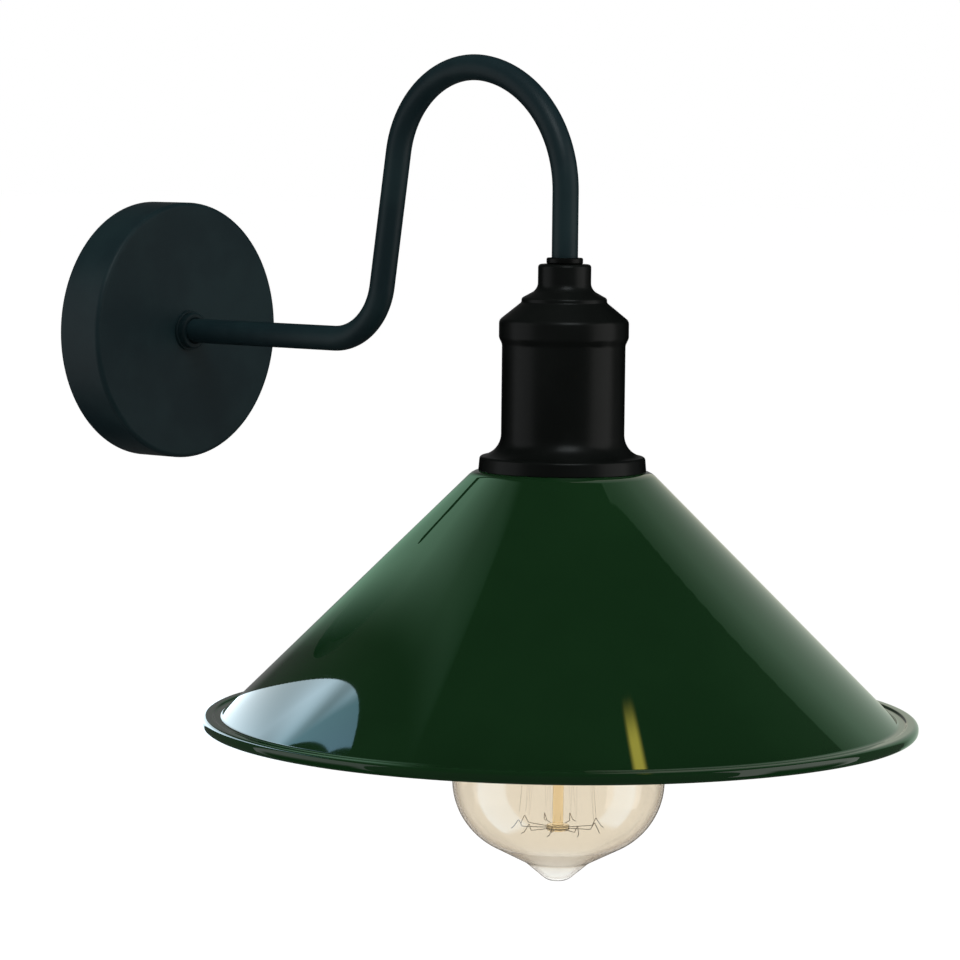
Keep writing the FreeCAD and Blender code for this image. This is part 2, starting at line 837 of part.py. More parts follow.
def lamp_wire(offset, pole_up):
    """A wire from the terminal block, through the arm, to a terminal of the lamp holder."""
    start = arm_start - bush_lip - bush_run
    bare_end = -block_inner_side + bare_gap
    corners = [
        (Vector(bare_end, -pole_line, pole_up), 0),
        (Vector(-block_inner_side + block_run, -pole_line, pole_up), wire_bend / 2),
        (Vector(0, -pole_line, offset), min(wire_bend, start - pole_line - fit_gap)),
        (Vector(0, -start, offset), 0),
    ]
    edges = rounded(corners, False)
    edges += arm_line(start, offset, last_run)[0]
    holder_side = -reach - offset
    end = seat_height + arm_end
    side = 1 if offset > 0 else -1
    terminal_y = -reach - side * holder_terminal_offset
    terminal_floor = seat_height + web_top
    terminal_top = terminal_floor + holder_terminal
    corners = [
        (Vector(0, holder_side, end), 0),
        (Vector(0, holder_side, end - holder_run), wire_bend),
        (Vector(0, terminal_y, terminal_top + terminal_run), wire_bend),
        (Vector(0, terminal_y, terminal_top + bare_gap), 0),
    ]
    edges += rounded(corners, False)
    tips = [
        ((bare_end, -pole_line, pole_up), (under_screw(), -pole_line, pole_up)),
        ((0, terminal_y, terminal_top + bare_gap), (0, terminal_y, terminal_floor + conductor_floor)),
    ]
    return joined_wire(edges, tips)


def live_wire():
    """Wire to the live terminal, along the outer side of the gooseneck."""
    return lamp_wire(wire_offset, pole_places()[0])


def neutral_wire():
    """Wire to the neutral terminal, along the inner side of the gooseneck."""
    return lamp_wire(-wire_offset, pole_places()[1])


def earth_wire():
    """Short wire from the block's lowest pole to the lug on the strap."""
    pole_up = pole_places()[2]
    angle = math.radians(lug_angle)
    height = earth_stack()[0] + lug_barrel / 2

    def beyond(distance):
        across = distance * math.cos(angle)
        return Vector(across, -height, distance * math.sin(angle) - earth_screw_offset)

    bare_end = -block_inner_side + bare_gap
    corners = [
        (Vector(bare_end, -pole_line, pole_up), 0),
        (Vector(-block_inner_side + earth_run, -pole_line, pole_up), short_wire_bend / 2),
        (beyond(lug_reach + lug_run), short_wire_bend / 2),
        (beyond(lug_reach + lug_bare_gap), 0),
    ]
    tips = [
        ((bare_end, -pole_line, pole_up), (under_screw(), -pole_line, pole_up)),
        (tuple(beyond(lug_reach + lug_bare_gap)), tuple(beyond(lug_ring / 2 + lug_lap))),
    ]
    return joined_wire(rounded(corners, False), tips)


# ---- Cup and lamp holder ----------------------------------------------------------------------
def lock_ring():
    """Round threaded ring on the arm, above the cup."""
    top = cup_height + lock_ring_height
    return on_lamp(turned(
        (thread_bore / 2, cup_height),
        (lock_ring_diameter / 2, cup_height, lock_ring_edge),
        (lock_ring_diameter / 2, top, lock_ring_edge),
        (thread_bore / 2, top),
    ))


def holder_cup():
    """Spun metal cup over the lamp holder: neck, step, wide band, body and a swept foot."""
    foot = cup_foot_diameter / 2
    body = cup_body_diameter / 2
    band = cup_band_diameter / 2
    step = cup_step_diameter / 2
    neck = cup_neck_diameter / 2
    band_top = cup_height - cup_band_drop
    band_bottom = band_top - cup_band_height
    step_top = cup_height - cup_step_drop
    step_bottom = step_top - cup_step_height
    outline = [
        (foot, 0),
        (foot, cup_wall),
        (foot - cup_foot_taper, cup_foot_height, cup_foot_edge),
        (body, cup_foot_height + cup_foot_rise, cup_foot_sweep),
        (body, band_bottom - cup_band_flare, cup_band_curve),
        (band, band_bottom, cup_band_curve),
        (band, band_top, cup_band_edge),
        (step, step_bottom, cup_step_foot),
        (step, step_top, cup_step_edge),
        (neck, cup_height - cup_neck_height, cup_neck_curve),
        (neck, cup_height, cup_top_edge),
        (thread_diameter / 2 + fit_gap, cup_height),
    ]
    return on_lamp(turned_sheet(outline, cup_wall))


def cup_nut():
    """Nut under the cup's top, which clamps it to the lock ring."""
    return on_lamp(hex_nut(cup_height - cup_wall - nut_height))


def holder_dome():
    """Upper half of the lamp holder, with the entry thread and a side set screw's hole."""
    outer = dome_diameter / 2
    inner = skirt_neck_diameter / 2 + thread_gap
    boss = dome_boss_diameter / 2
    shoulder = dome_top - dome_shoulder_drop
    boss_foot = dome_top - dome_boss_height
    thread_end = arm_end - dome_thread_floor
    dome = turned(
        (inner, dome_bottom),
        (outer, dome_bottom, dome_edge),
        (outer, shoulder, dome_shoulder_curve),
        (boss + dome_boss_foot, boss_foot, dome_boss_sweep),
        (boss, boss_foot, dome_boss_foot / 2),
        (boss, dome_top, dome_boss_edge),
        (thread_bore / 2, dome_top),
        (thread_bore / 2, thread_end),
        (boss + dome_inner_foot, thread_end, dome_boss_foot),
        (inner, shoulder - dome_wall - dome_inner_foot, dome_inner_curve),
    )
    hole_size = holder_grub_diameter + 2 * thread_gap
    hole = rod(hole_size, (0, 0, holder_grub_height), (outer, 0, holder_grub_height))
    return on_lamp(dome.cut(hole))


def holder_grub():
    """Set screw that locks the holder on the arm's thread."""
    outer_end = dome_boss_diameter / 2 - holder_grub_inset
    screw = slotted_screw(holder_grub_diameter, outer_end - thread_diameter / 2 - holder_grub_tip_gap)
    screw.rotate(Vector(0, 0, 0), Vector(0, 1, 0), 90)
    screw.translate(Vector(outer_end, 0, holder_grub_height))
    return on_lamp(screw)


def holder_skirt():
    """Lower half of the lamp holder, with the outside thread that the shade's ring turns on."""
    outer = skirt_diameter / 2
    neck = skirt_neck_diameter / 2
    return on_lamp(turned(
        (skirt_lip_bore / 2, skirt_bottom, skirt_lip_edge),
        (outer, skirt_bottom, skirt_edge),
        (outer, dome_bottom),
        (neck, dome_bottom),
        (neck, dome_bottom + skirt_neck_height),
        (skirt_bore / 2, dome_bottom + skirt_neck_height),
        (skirt_bore / 2, core_bottom),
        (skirt_lip_bore / 2, core_bottom),
    ))


def holder_core():
    """Porcelain core: a web with the contacts' holes and a well for the screw shell."""
    outer = core_diameter / 2
    core = turned(
        (0, web_bottom),
        (outer - core_wall, web_bottom),
        (outer - core_wall, core_bottom),
        (outer, core_bottom, core_edge),
        (outer, core_top, core_edge),
        (outer - core_upper_wall, core_top, core_edge),
        (outer - core_upper_wall, web_top),
        (0, web_top),
    )
    hole = stud_diameter + 2 * fit_gap
    cuts = []
    for offset in (-live_stud_offset, neutral_stud_offset):
        cuts.append(rod(hole, (0, offset, web_bottom - 1), (0, offset, web_top + 1)))
    return on_lamp(core.cut(cuts))


def screw_shell():
    """Threaded brass shell that the bulb turns into."""
    outer = shell_bore / 2 + shell_wall
    shell = turned(
        (shell_flange_bore / 2, web_bottom),
        (shell_flange_bore / 2, web_bottom - shell_wall),
        (shell_bore / 2, web_bottom - shell_wall, shell_bend),
        (shell_bore / 2, web_bottom - shell_height),
        (outer, web_bottom - shell_height),
        (outer, web_bottom, shell_bend + shell_wall),
    )
    hole = stud_diameter + 2 * fit_gap
    place = neutral_stud_offset
    return on_lamp(shell.cut(rod(hole, (0, place, web_bottom - 1), (0, place, web_bottom + 1))))


def holder_terminals():
    """Two brass terminals, each with a stud peened over under the core's web."""
    blocks = []
    plates = ((-1, live_stud_offset, contact_thickness), (1, neutral_stud_offset, shell_wall))
    for side, stud_offset, plate in plates:
        middle = side * holder_terminal_offset
        half = holder_terminal_length / 2
        wide = holder_terminal_width / 2
        screw_height = web_top + holder_terminal / 2
        block = box((-wide, middle - half, web_top), (wide, middle + half, web_top + holder_terminal))
        upper_edges = [e for e in block.Edges if e.BoundBox.ZMin > screw_height]
        block = block.makeFillet(holder_terminal_edge, upper_edges)
        stud_place = side * stud_offset
        under = web_bottom - plate
        stud = rod(stud_diameter, (0, stud_place, under), (0, stud_place, web_top))
        head_end = under - stud_head_height
        head = rod(stud_head_diameter, (0, stud_place, head_end), (0, stud_place, under))
        head_edges = [e for e in head.Edges if e.BoundBox.ZMax < under - stud_head_height / 2]
        head = head.makeFillet(stud_head_edge, head_edges)
        block = block.fuse([stud, head]).removeSplitter()
        bore = conductor_diameter + 4 * fit_gap
        top = web_top + holder_terminal + 1
        block = block.cut(rod(bore, (0, middle, web_top + holder_terminal_floor), (0, middle, top)))
        screw_hole = holder_screw_diameter + 2 * thread_gap
        block = block.cut(rod(screw_hole, (0, middle, screw_height), (wide + 1, middle, screw_height)))
        blocks.append(block)
    return on_lamp(group(blocks))


def holder_terminal_screws():
    """Two clamping screws from the side of the terminals."""
    screws = []
    head_under = holder_terminal_width / 2 + holder_screw_stand
    shank = head_under - conductor_diameter / 2 - fit_gap
    for side in (-1, 1):
        screw = headed_screw(holder_screw_diameter, shank, holder_screw_head, holder_screw_head_height)
        screw.rotate(Vector(0, 0, 0), Vector(0, 1, 0), 90)
        place = side * holder_terminal_offset
        screw.translate(Vector(head_under, place, web_top + holder_terminal / 2))
        screws.append(screw)
    return on_lamp(group(screws))


def centre_contact():
    """Bent spring strip that presses on the bulb's end contact."""
    flat_end = -live_stud_offset - stud_head_diameter / 2 - contact_lap
    foot_top = bulb_top + contact_thickness
    line = [
        (flat_end, web_bottom),
        (-live_stud_offset + contact_shoulder, web_bottom, contact_bend),
        (-contact_foot, foot_top, contact_bend),
        (contact_foot, foot_top, contact_bend),
        (contact_tail, foot_top + contact_bend),
    ]
    strip = sheet_section(line, -contact_thickness).extrude(Vector(0, contact_width, 0))
    strip.translate(Vector(0, -contact_width / 2, 0))
    strip.rotate(Vector(0, 0, 0), Vector(0, 0, 1), 90)
    hole = stud_diameter + 2 * fit_gap
    place = -live_stud_offset
    return on_lamp(strip.cut(rod(hole, (0, place, web_bottom - 2), (0, place, web_bottom + 1))))


# ---- Shade ------------------------------------------------------------------------------------
def shade():
    """Spun conical shade with a flat top, a rounded shoulder, a gutter and a rolled edge."""
    hole = skirt_diameter / 2 + shade_hole_gap
    rim = shade_diameter / 2
    bead_top = bead_height - shade_height
    gutter = bead_top - ledge_depth
    bead_inner = rim - bead_width
    outline = [
        (hole, 0),
        (shade_top_diameter / 2, 0, shade_shoulder),
        (bead_inner - ledge_depth - ledge_width, gutter, cone_foot),
        (bead_inner - ledge_depth, gutter, ledge_corner),
        (bead_inner, bead_top, bead_inner_bend),
        (rim, bead_top, bead_radius),
        (rim, -shade_height, bead_radius),
        (bead_inner, -shade_height, bead_radius),
        (bead_inner, -shade_height + bead_return),
    ]
    return on_lamp(turned_sheet(outline, -shade_sheet))


def shade_ring():
    """Threaded ring under the shade, with a flange and finger grips."""
    bore = skirt_diameter / 2 + turning_gap
    top = -shade_sheet
    bottom = top - shade_ring_height
    flange = shade_ring_flange / 2
    body = shade_ring_body / 2
    shape = turned(
        (bore, bottom, shade_ring_edge),
        (body, bottom, shade_ring_body_edge),
        (body, top - shade_ring_flange_thickness),
        (flange, top - shade_ring_flange_thickness, shade_ring_edge),
        (flange, top),
        (bore, top),
    )
    grip = rod(grip_diameter, (flange, 0, bottom - 1), (flange, 0, top + 1))
    return on_lamp(shape.cut(copies(grip, grip_count)))


# ---- Bulb -------------------------------------------------------------------------------------
def glass_line():
    """Outside of the glass, from its top edge in the cap down to the tip."""
    belly = bulb_diameter / 2
    neck = neck_diameter / 2
    widest = glass_tip + belly_drop
    slope = math.radians(under_slope)
    corner_height = widest - globe_radius * math.tan((math.pi / 2 - slope) / 2)
    foot_height = corner_height - (belly - tip_foot) * math.tan(slope)
    tip_corner = tip_foot - (foot_height - glass_tip) / math.tan(math.radians(tip_slope))
    return [
        (neck, cap_bottom + neck_in_cap),
        (neck, cap_bottom - neck_straight, neck_sweep),
        (belly, widest + belly_height + shoulder_rise, belly_shoulder),
        (belly, corner_height, globe_radius),
        (tip_foot, foot_height, tip_hollow),
        (tip_corner, glass_tip, tip_round),
        (0, glass_tip),
    ]


def bulb_glass():
    """Blown glass of a large pear bulb with a drawn tip."""
    return on_lamp(turned_sheet(glass_line(), -glass_wall))


def bulb_cap():
    """Screw cap of the bulb, open below round the glass."""
    outer = cap_diameter / 2
    top = bulb_top - end_contact_height - insulator_height
    return on_lamp(turned(
        (outer, cap_bottom),
        (outer, top, cap_shoulder),
        (outer - cap_lip, top),
        (outer - cap_lip, top - cap_wall),
        (outer - cap_wall, top - cap_wall, cap_shoulder - cap_wall),
        (outer - cap_wall, cap_bottom),
    ))


def bulb_insulator():
    """Dark glass insulator between the cap and the end contact."""
    bottom = bulb_top - end_contact_height - insulator_height
    top = bulb_top - end_contact_height
    return on_lamp(turned(
        (0, bottom),
        (cap_diameter / 2 - insulator_inset, bottom, insulator_edge),
        (end_contact_diameter / 2 + insulator_rim, top, insulator_shoulder),
        (0, top),
    ))


def bulb_end_contact():
    """Solder disc at the bulb's end."""
    bottom = bulb_top - end_contact_height
    return on_lamp(turned(
        (0, bottom),
        (end_contact_diameter / 2, bottom),
        (end_contact_diameter / 2, bulb_top, end_contact_edge),
        (0, bulb_top),
    ))


def stem_end():
    """Height of the stem's closed end, where the rod begins."""
    return cap_bottom - stem_length


def bulb_stem():
    """Flared glass stem inside the neck."""
    flare = neck_diameter / 2 - glass_wall - turning_gap
    tube = stem_tube_diameter / 2
    top = cap_bottom + stem_above_cap
    line = [
        (flare, top),
        (tube, top - stem_flare_height, stem_flare_sweep),
        (tube, stem_end(), tube - stem_end_flat),
        (0, stem_end()),
    ]
    return on_lamp(turned_sheet(line, -stem_wall))


def lower_hub():
    """Height of the lower hub."""
    return glass_tip + hub_above_tip


def upper_hub():
    """Height of the upper hub."""
    return lower_hub() + cage_height


def bulb_rod():
    """Glass rod that carries the two hubs of the filament's supports."""
    slim = rod_diameter / 2
    hub = hub_diameter / 2
    tip = lower_hub() - rod_past_hub
    points = [(0, tip), (slim, tip, rod_tip_round)]
    for middle in (lower_hub(), upper_hub()):
        points += [
            (slim, middle - hub_height / 2),
            (hub, middle - hub_height / 2, hub_edge),
            (hub, middle + hub_height / 2, hub_edge),
            (slim, middle + hub_height / 2),
        ]
    points += [(slim, stem_end()), (0, stem_end())]
    return on_lamp(turned(*points))


def cage_point(index):
    """Where the filament hangs at a support: even ones above, odd ones below."""
    angle = math.pi * index / (cage_turns + 0.5)
    if index % 2 == 0:
        return upper_cage_radius, angle, upper_hub()
    return lower_cage_radius, angle, lower_hub()


def filament_supports():
    """Thin wires out of both hubs, one for each turn of the filament."""
    wires = []
    for index in range(2 * cage_turns + 1):
        radius, angle, height = cage_point(index)
        inner = hub_diameter / 2 + thread_gap
        start = (inner * math.cos(angle), inner * math.sin(angle), height)
        end = (radius * math.cos(angle), radius * math.sin(angle), height)
        wires.append(rod(support_diameter, start, end))
    return on_lamp(group(wires))


def filament():
    """One wire that zigzags round between the lower and the upper supports."""
    points = []
    for index in range(2 * cage_turns + 1):
        radius, angle, height = cage_point(index)
        radius -= strand_inset
        away = support_diameter / 2 + filament_diameter / 2 + fit_gap
        height += away if index % 2 == 1 else -away
        points.append(Vector(radius * math.cos(angle), radius * math.sin(angle), height))
    wire = Part.makeSphere(filament_diameter / 2, points[0])
    strands = []
    for start, end in zip(points, points[1:]):
        strands.append(rod(filament_diameter, tuple(start), tuple(end)))
        strands.append(Part.makeSphere(filament_diameter / 2, end))
    return on_lamp(wire.fuse(strands))


def bulb_leads():
    """Two lead-in wires from the stem to the ends of the filament."""
    leads = []
    for index in (0, 2 * cage_turns):
        radius, angle, height = cage_point(index)
        radius -= lead_inset
        foot = stem_tube_diameter / 2 - lead_foot_inset
        across, along = math.cos(angle), math.sin(angle)
        start = (foot * across, foot * along, stem_end() - thread_gap)
        end = (radius * across, radius * along, height + support_diameter / 2 + lead_gap)
        leads.append(rod(support_diameter, start, end))
    return on_lamp(group(leads))


# ---- All nodes --------------------------------------------------------------------------------
makers = [
    wall_strap, canopy, canopy_screws, cable_grommet, terminal_block, terminal_sleeves, terminal_screws,
    block_screw, earth_lug, earth_washer, earth_screw, arm_tube, root_washer, root_collar, arm_lock_nut,
    arm_lock_washer, arm_bushes, live_wire, neutral_wire, earth_wire, lock_ring, holder_cup, cup_nut,
    holder_dome, holder_grub, holder_skirt, holder_core, screw_shell, holder_terminals,
    holder_terminal_screws, centre_contact, shade, shade_ring, bulb_glass, bulb_cap, bulb_insulator,
    bulb_end_contact, bulb_stem, bulb_rod, filament_supports, filament, bulb_leads,
]
for maker in makers:
    shape = maker()
    shape.exportStep("parts/" + maker.__name__ + ".step")
    print(maker.__name__, len(shape.Solids), round(shape.Volume, 1), shape.isValid())
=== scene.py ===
import json
import logging
import math
from dataclasses import dataclass
from enum import Enum
from typing import Sequence

import bmesh
import bpy
from mathutils import Matrix, Vector


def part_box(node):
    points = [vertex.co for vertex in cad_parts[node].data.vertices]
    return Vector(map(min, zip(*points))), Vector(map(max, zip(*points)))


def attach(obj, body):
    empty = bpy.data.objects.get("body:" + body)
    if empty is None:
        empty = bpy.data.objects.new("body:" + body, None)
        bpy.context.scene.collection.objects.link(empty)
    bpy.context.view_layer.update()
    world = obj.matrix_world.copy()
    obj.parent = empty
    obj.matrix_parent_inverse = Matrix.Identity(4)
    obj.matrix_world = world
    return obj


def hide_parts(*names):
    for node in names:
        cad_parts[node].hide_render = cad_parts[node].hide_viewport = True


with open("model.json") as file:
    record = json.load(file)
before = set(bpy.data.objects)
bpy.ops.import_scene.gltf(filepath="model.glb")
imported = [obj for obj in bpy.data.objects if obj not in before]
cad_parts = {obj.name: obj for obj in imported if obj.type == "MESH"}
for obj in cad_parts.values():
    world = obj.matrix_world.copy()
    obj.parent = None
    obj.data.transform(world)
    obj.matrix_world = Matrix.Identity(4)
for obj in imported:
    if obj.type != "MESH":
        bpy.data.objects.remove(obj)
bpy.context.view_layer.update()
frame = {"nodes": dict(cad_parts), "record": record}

# Gooseneck wall sconce. Outlines and sizes are in millimetres and become metres in each mesh. The
# wall is the plane Y = 0, the lamp stands out towards -Y, and +Z is up. A lamp outline is measured
# from the lamp's axis and the top of the shade, a wall outline from the canopy's axis and the wall.

MM = 0.001
FULL_TURN = 2 * math.pi
Colour = tuple[float, float, float]
Point = tuple[float, float, float]

log = logging.getLogger("sconce")


# ---- Where things are --------------------------------------------------------------------------
@dataclass(frozen=True)
class Layout:
    """Places of the lamp and the wall frame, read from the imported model."""

    reach: float
    seat: float

    @classmethod
    def from_frame(cls) -> "Layout":
        """Reads the lamp's axis and the top of the shade from the CAD nodes.

        Returns:
            The layout, in metres.
        """
        low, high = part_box("shade")
        return cls(reach=-(low.y + high.y) / 2, seat=high.z)

    def lamp(self) -> Matrix:
        """The matrix from a lamp outline in millimetres to the row frame."""
        return Matrix.Translation((0, -self.reach, self.seat)) @ Matrix.Scale(MM, 4)

    def wall(self) -> Matrix:
        """The matrix from a wall outline in millimetres to the row frame."""
        return Matrix.Rotation(math.radians(90), 4, "X") @ Matrix.Scale(MM, 4)


# ---- Shapes ------------------------------------------------------------------------------------
@dataclass(frozen=True)
class Corner:
    """A corner of an outline: its distance from the axis, its height and its rounding."""

    out: float
    up: float
    radius: float = 0.0

    def place(self) -> Vector:
        """The corner in the plane of the outline."""
        return Vector((self.out, 0, self.up))


@dataclass(frozen=True)
class Wall:
    """A sheet's thickness and the rounding of its free edges, in millimetres."""

    thickness: float
    edge: float = 0.0
    inner_slot: int = 0


def draw(mesh: bmesh.types.BMesh, corners: Sequence[Corner], arc_step: float = 9.0) -> None:
    """Draws an outline in the XZ plane by pulling a vertex along its lines and arcs.

    Args:
        mesh: The mesh that takes the outline.
        corners: The outline's corners, in order.
        arc_step: Degrees that one edge of a rounded corner turns.
    """
    pen = bmesh.ops.create_vert(mesh, co=corners[0].place())["vert"][0]
    for index in range(1, len(corners)):
        corner = corners[index]
        here = corner.place()
        if corner.radius == 0 or index == len(corners) - 1:
            pen = pulled(mesh, pen, here)
            continue
        back = (corners[index - 1].place() - here).normalized()
        ahead = (corners[index + 1].place() - here).normalized()
        half = back.angle(ahead) / 2
        cut = corner.radius / math.tan(half)
        pen = pulled(mesh, pen, here + back * cut)
        centre = here + (back + ahead).normalized() * (corner.radius / math.sin(half))
        turn = math.pi - 2 * half
        arc = bmesh.ops.spin(
            mesh, geom=[pen], cent=centre, axis=ahead.cross(back).normalized(), dvec=(0, 0, 0),
            angle=turn, steps=max(2, math.ceil(math.degrees(turn) / arc_step)), use_merge=False,
            use_normal_flip=False, use_duplicate=False,
        )
        pen = [item for item in arc["geom_last"] if isinstance(item, bmesh.types.BMVert)][0]


def pulled(mesh: bmesh.types.BMesh, pen: bmesh.types.BMVert, target: Vector) -> bmesh.types.BMVert:
    """Pulls a vertex to a place, with an edge behind it.

    Args:
        mesh: The mesh that holds the vertex.
        pen: The vertex at the end of the line.
        target: Where the line goes next.

    Returns:
        The vertex at the new end of the line.
    """
    if (target - pen.co).length < MM:
        return pen
    step = bmesh.ops.extrude_vert_indiv(mesh, verts=[pen])["verts"][0]
    step.co = target
    return step


def placed(name: str, mesh: bmesh.types.BMesh) -> bpy.types.Object:
    """Puts a mesh, which is freed, into the scene as an object at the origin."""
    data = bpy.data.meshes.new(name)
    mesh.to_mesh(data)
    mesh.free()
    piece = bpy.data.objects.new(name, data)
    bpy.context.scene.collection.objects.link(piece)
    return piece


def finished(name: str, mesh: bmesh.types.BMesh, place: Matrix, sharp: float = 32.0) -> bpy.types.Object:
    """Makes an object of a mesh: welded, turned outwards, put in place and shaded.

    Args:
        name: The piece's name.
        mesh: The mesh in millimetres, which is freed.
        place: The matrix from the mesh's own frame to the row frame.
        sharp: Degrees past which an edge is shaded sharp.

    Returns:
        The object, at the origin, with its place in its mesh.
    """
    bmesh.ops.remove_doubles(mesh, verts=mesh.verts, dist=MM)
    bmesh.ops.recalc_face_normals(mesh, faces=mesh.faces)
    bmesh.ops.transform(mesh, matrix=place, verts=mesh.verts)
    piece = placed(name, mesh)
    piece.data.shade_smooth()
    piece.data.set_sharp_from_angle(angle=math.radians(sharp))
    return piece


def turned(name: str, corners: Sequence[Corner], place: Matrix, steps: int = 192,
           arc_step: float = 9.0) -> bpy.types.Object:
    """Turns an outline a full turn about its axis.

    Args:
        name: The piece's name.
        corners: The outline, which starts and ends on the axis, at one point or at a free edge.
        place: The matrix from the outline's frame to the row frame.
        steps: Faces round the axis.
        arc_step: Degrees that one face of a rounded corner turns.

    Returns:
        The turned piece.
    """
    mesh = bmesh.new()
    draw(mesh, corners, arc_step)
    bmesh.ops.spin(
        mesh, geom=mesh.verts[:] + mesh.edges[:], cent=(0, 0, 0), axis=(0, 0, 1), dvec=(0, 0, 0),
        angle=FULL_TURN, steps=steps, use_merge=True, use_normal_flip=False, use_duplicate=False,
    )
    return finished(name, mesh, place)


def sheet(piece: bpy.types.Object, wall: Wall) -> bpy.types.Object:
    """Gives an open shell its wall, on the inside, and rounds the wall's free edges.

    Args:
        piece: The shell, with its outer side modelled.
        wall: The wall's sizes.

    Returns:
        The same piece.
    """
    solid = piece.modifiers.new("wall", "SOLIDIFY")
    solid.thickness = wall.thickness * MM
    solid.offset = -1
    solid.use_even_offset = True
    solid.material_offset = wall.inner_slot
    if wall.edge > 0:
        edge = piece.modifiers.new("edge", "BEVEL")
        edge.width = wall.edge * MM
        edge.segments = 3
        edge.limit_method = "ANGLE"
        edge.angle_limit = math.radians(60)
        edge.harden_normals = True
    flat = piece.modifiers.new("flat", "WEIGHTED_NORMAL")
    flat.mode = "FACE_AREA"
    flat.weight = 90
    flat.keep_sharp = True
    return piece


def wires(name: str, paths: Sequence[Sequence[Vector]], diameter: float, place: Matrix,
          sides: int = 8) -> bpy.types.Object:
    """Makes round wires along lines of points.

    Args:
        name: The piece's name.
        paths: The points of each wire, in millimetres.
        diameter: The wire's diameter, in millimetres.
        place: The matrix from the points' frame to the row frame.
        sides: Half the faces round the wire.

    Returns:
        The wires as one mesh piece.
    """
    curve = bpy.data.curves.new(name + "_line", "CURVE")
    curve.dimensions = "3D"
    curve.bevel_depth = diameter / 2
    curve.bevel_resolution = max(0, sides // 4 - 1)
    curve.use_fill_caps = True
    curve.resolution_u = 8
    for path in paths:
        spline = curve.splines.new("NURBS")
        spline.points.add(len(path) - 1)
        for point, co in zip(spline.points, path):
            point.co = (*co, 1)
        spline.order_u = 2
        spline.use_endpoint_u = True
    line = bpy.data.objects.new(name + "_line", curve)
    bpy.context.scene.collection.objects.link(line)
    bpy.context.view_layer.update()
    data = bpy.data.meshes.new_from_object(line.evaluated_get(bpy.context.evaluated_depsgraph_get()))
    bpy.data.objects.remove(line)
    bpy.data.curves.remove(curve)
    mesh = bmesh.new()
    mesh.from_mesh(data)
    bpy.data.meshes.remove(data)
    return finished(name, mesh, place, 50)


def around(out: float, angle: float, up: float) -> Vector:
    """A place by its distance from the lamp's axis, its angle round the axis and its height."""
    return Vector((out * math.cos(angle), out * math.sin(angle), up))


@dataclass(frozen=True)
class Run:
    """A straight stretch of a bent tube."""

    length: float


@dataclass(frozen=True)
class Bend:
    """A bend of a tube: its radius and how far it turns, in degrees, up being above zero."""

    radius: float
    turn: float


def bent_tube(name: str, diameter: float, start: float, steps: Sequence[Run | Bend],
              sides: int = 64) -> bpy.types.Object:
    """Pulls a ring out of the wall and round the bends of a tube.

    Args:
        name: The piece's name.
        diameter: The tube's outer diameter.
        start: How far from the wall the tube begins.
        steps: The tube's runs and bends, in order.
        sides: Faces round the tube.

    Returns:
        The tube's outer skin, open at both ends.
    """
    mesh = bmesh.new()
    side_on = Matrix.Rotation(math.radians(90), 4, "X")
    ring = bmesh.ops.create_circle(mesh, cap_ends=False, segments=sides, radius=diameter / 2, matrix=side_on)
    bmesh.ops.translate(mesh, verts=ring["verts"], vec=(0, -start, 0))
    front = mesh.edges[:]
    middle = Vector((0, -start, 0))
    heading = 0.0
    for step in steps:
        angle = math.radians(heading)
        along = Vector((0, -math.cos(angle), math.sin(angle)))
        if isinstance(step, Run):
            grown = bmesh.ops.extrude_edge_only(mesh, edges=front)["geom"]
            verts = [item for item in grown if isinstance(item, bmesh.types.BMVert)]
            bmesh.ops.translate(mesh, verts=verts, vec=along * step.length)
            front = [item for item in grown if isinstance(item, bmesh.types.BMEdge) and item.is_boundary]
            middle = middle + along * step.length
            continue
        side = 1 if step.turn > 0 else -1
        across = Vector((0, math.sin(angle), math.cos(angle))) * side
        centre = middle + across * step.radius
        turn = math.radians(abs(step.turn))
        grown = bmesh.ops.spin(
            mesh, geom=front + list({v for e in front for v in e.verts}), cent=centre,
            axis=(-side, 0, 0), dvec=(0, 0, 0), angle=turn, steps=math.ceil(abs(step.turn) / 2.5),
            use_merge=False, use_normal_flip=False, use_duplicate=False,
        )["geom_last"]
        front = [item for item in grown if isinstance(item, bmesh.types.BMEdge)]
        middle = centre + Matrix.Rotation(turn, 3, (-side, 0, 0)) @ (middle - centre)
        heading += step.turn
    return finished(name, mesh, Matrix.Scale(MM, 4))


# ---- Finishes ----------------------------------------------------------------------------------
class Grain(Enum):
    """The fine relief of a surface."""

    PEEL = "peel"        # the small round dimples of sprayed or baked paint
    TURNED = "turned"    # fine rings about the axis of a spun or turned piece
    CAST = "cast"        # the soft, uneven skin of moulded and fired pieces


class Axis(Enum):
    """The line that turned rings run about."""

    LAMP = "lamp"
    ARM = "arm"


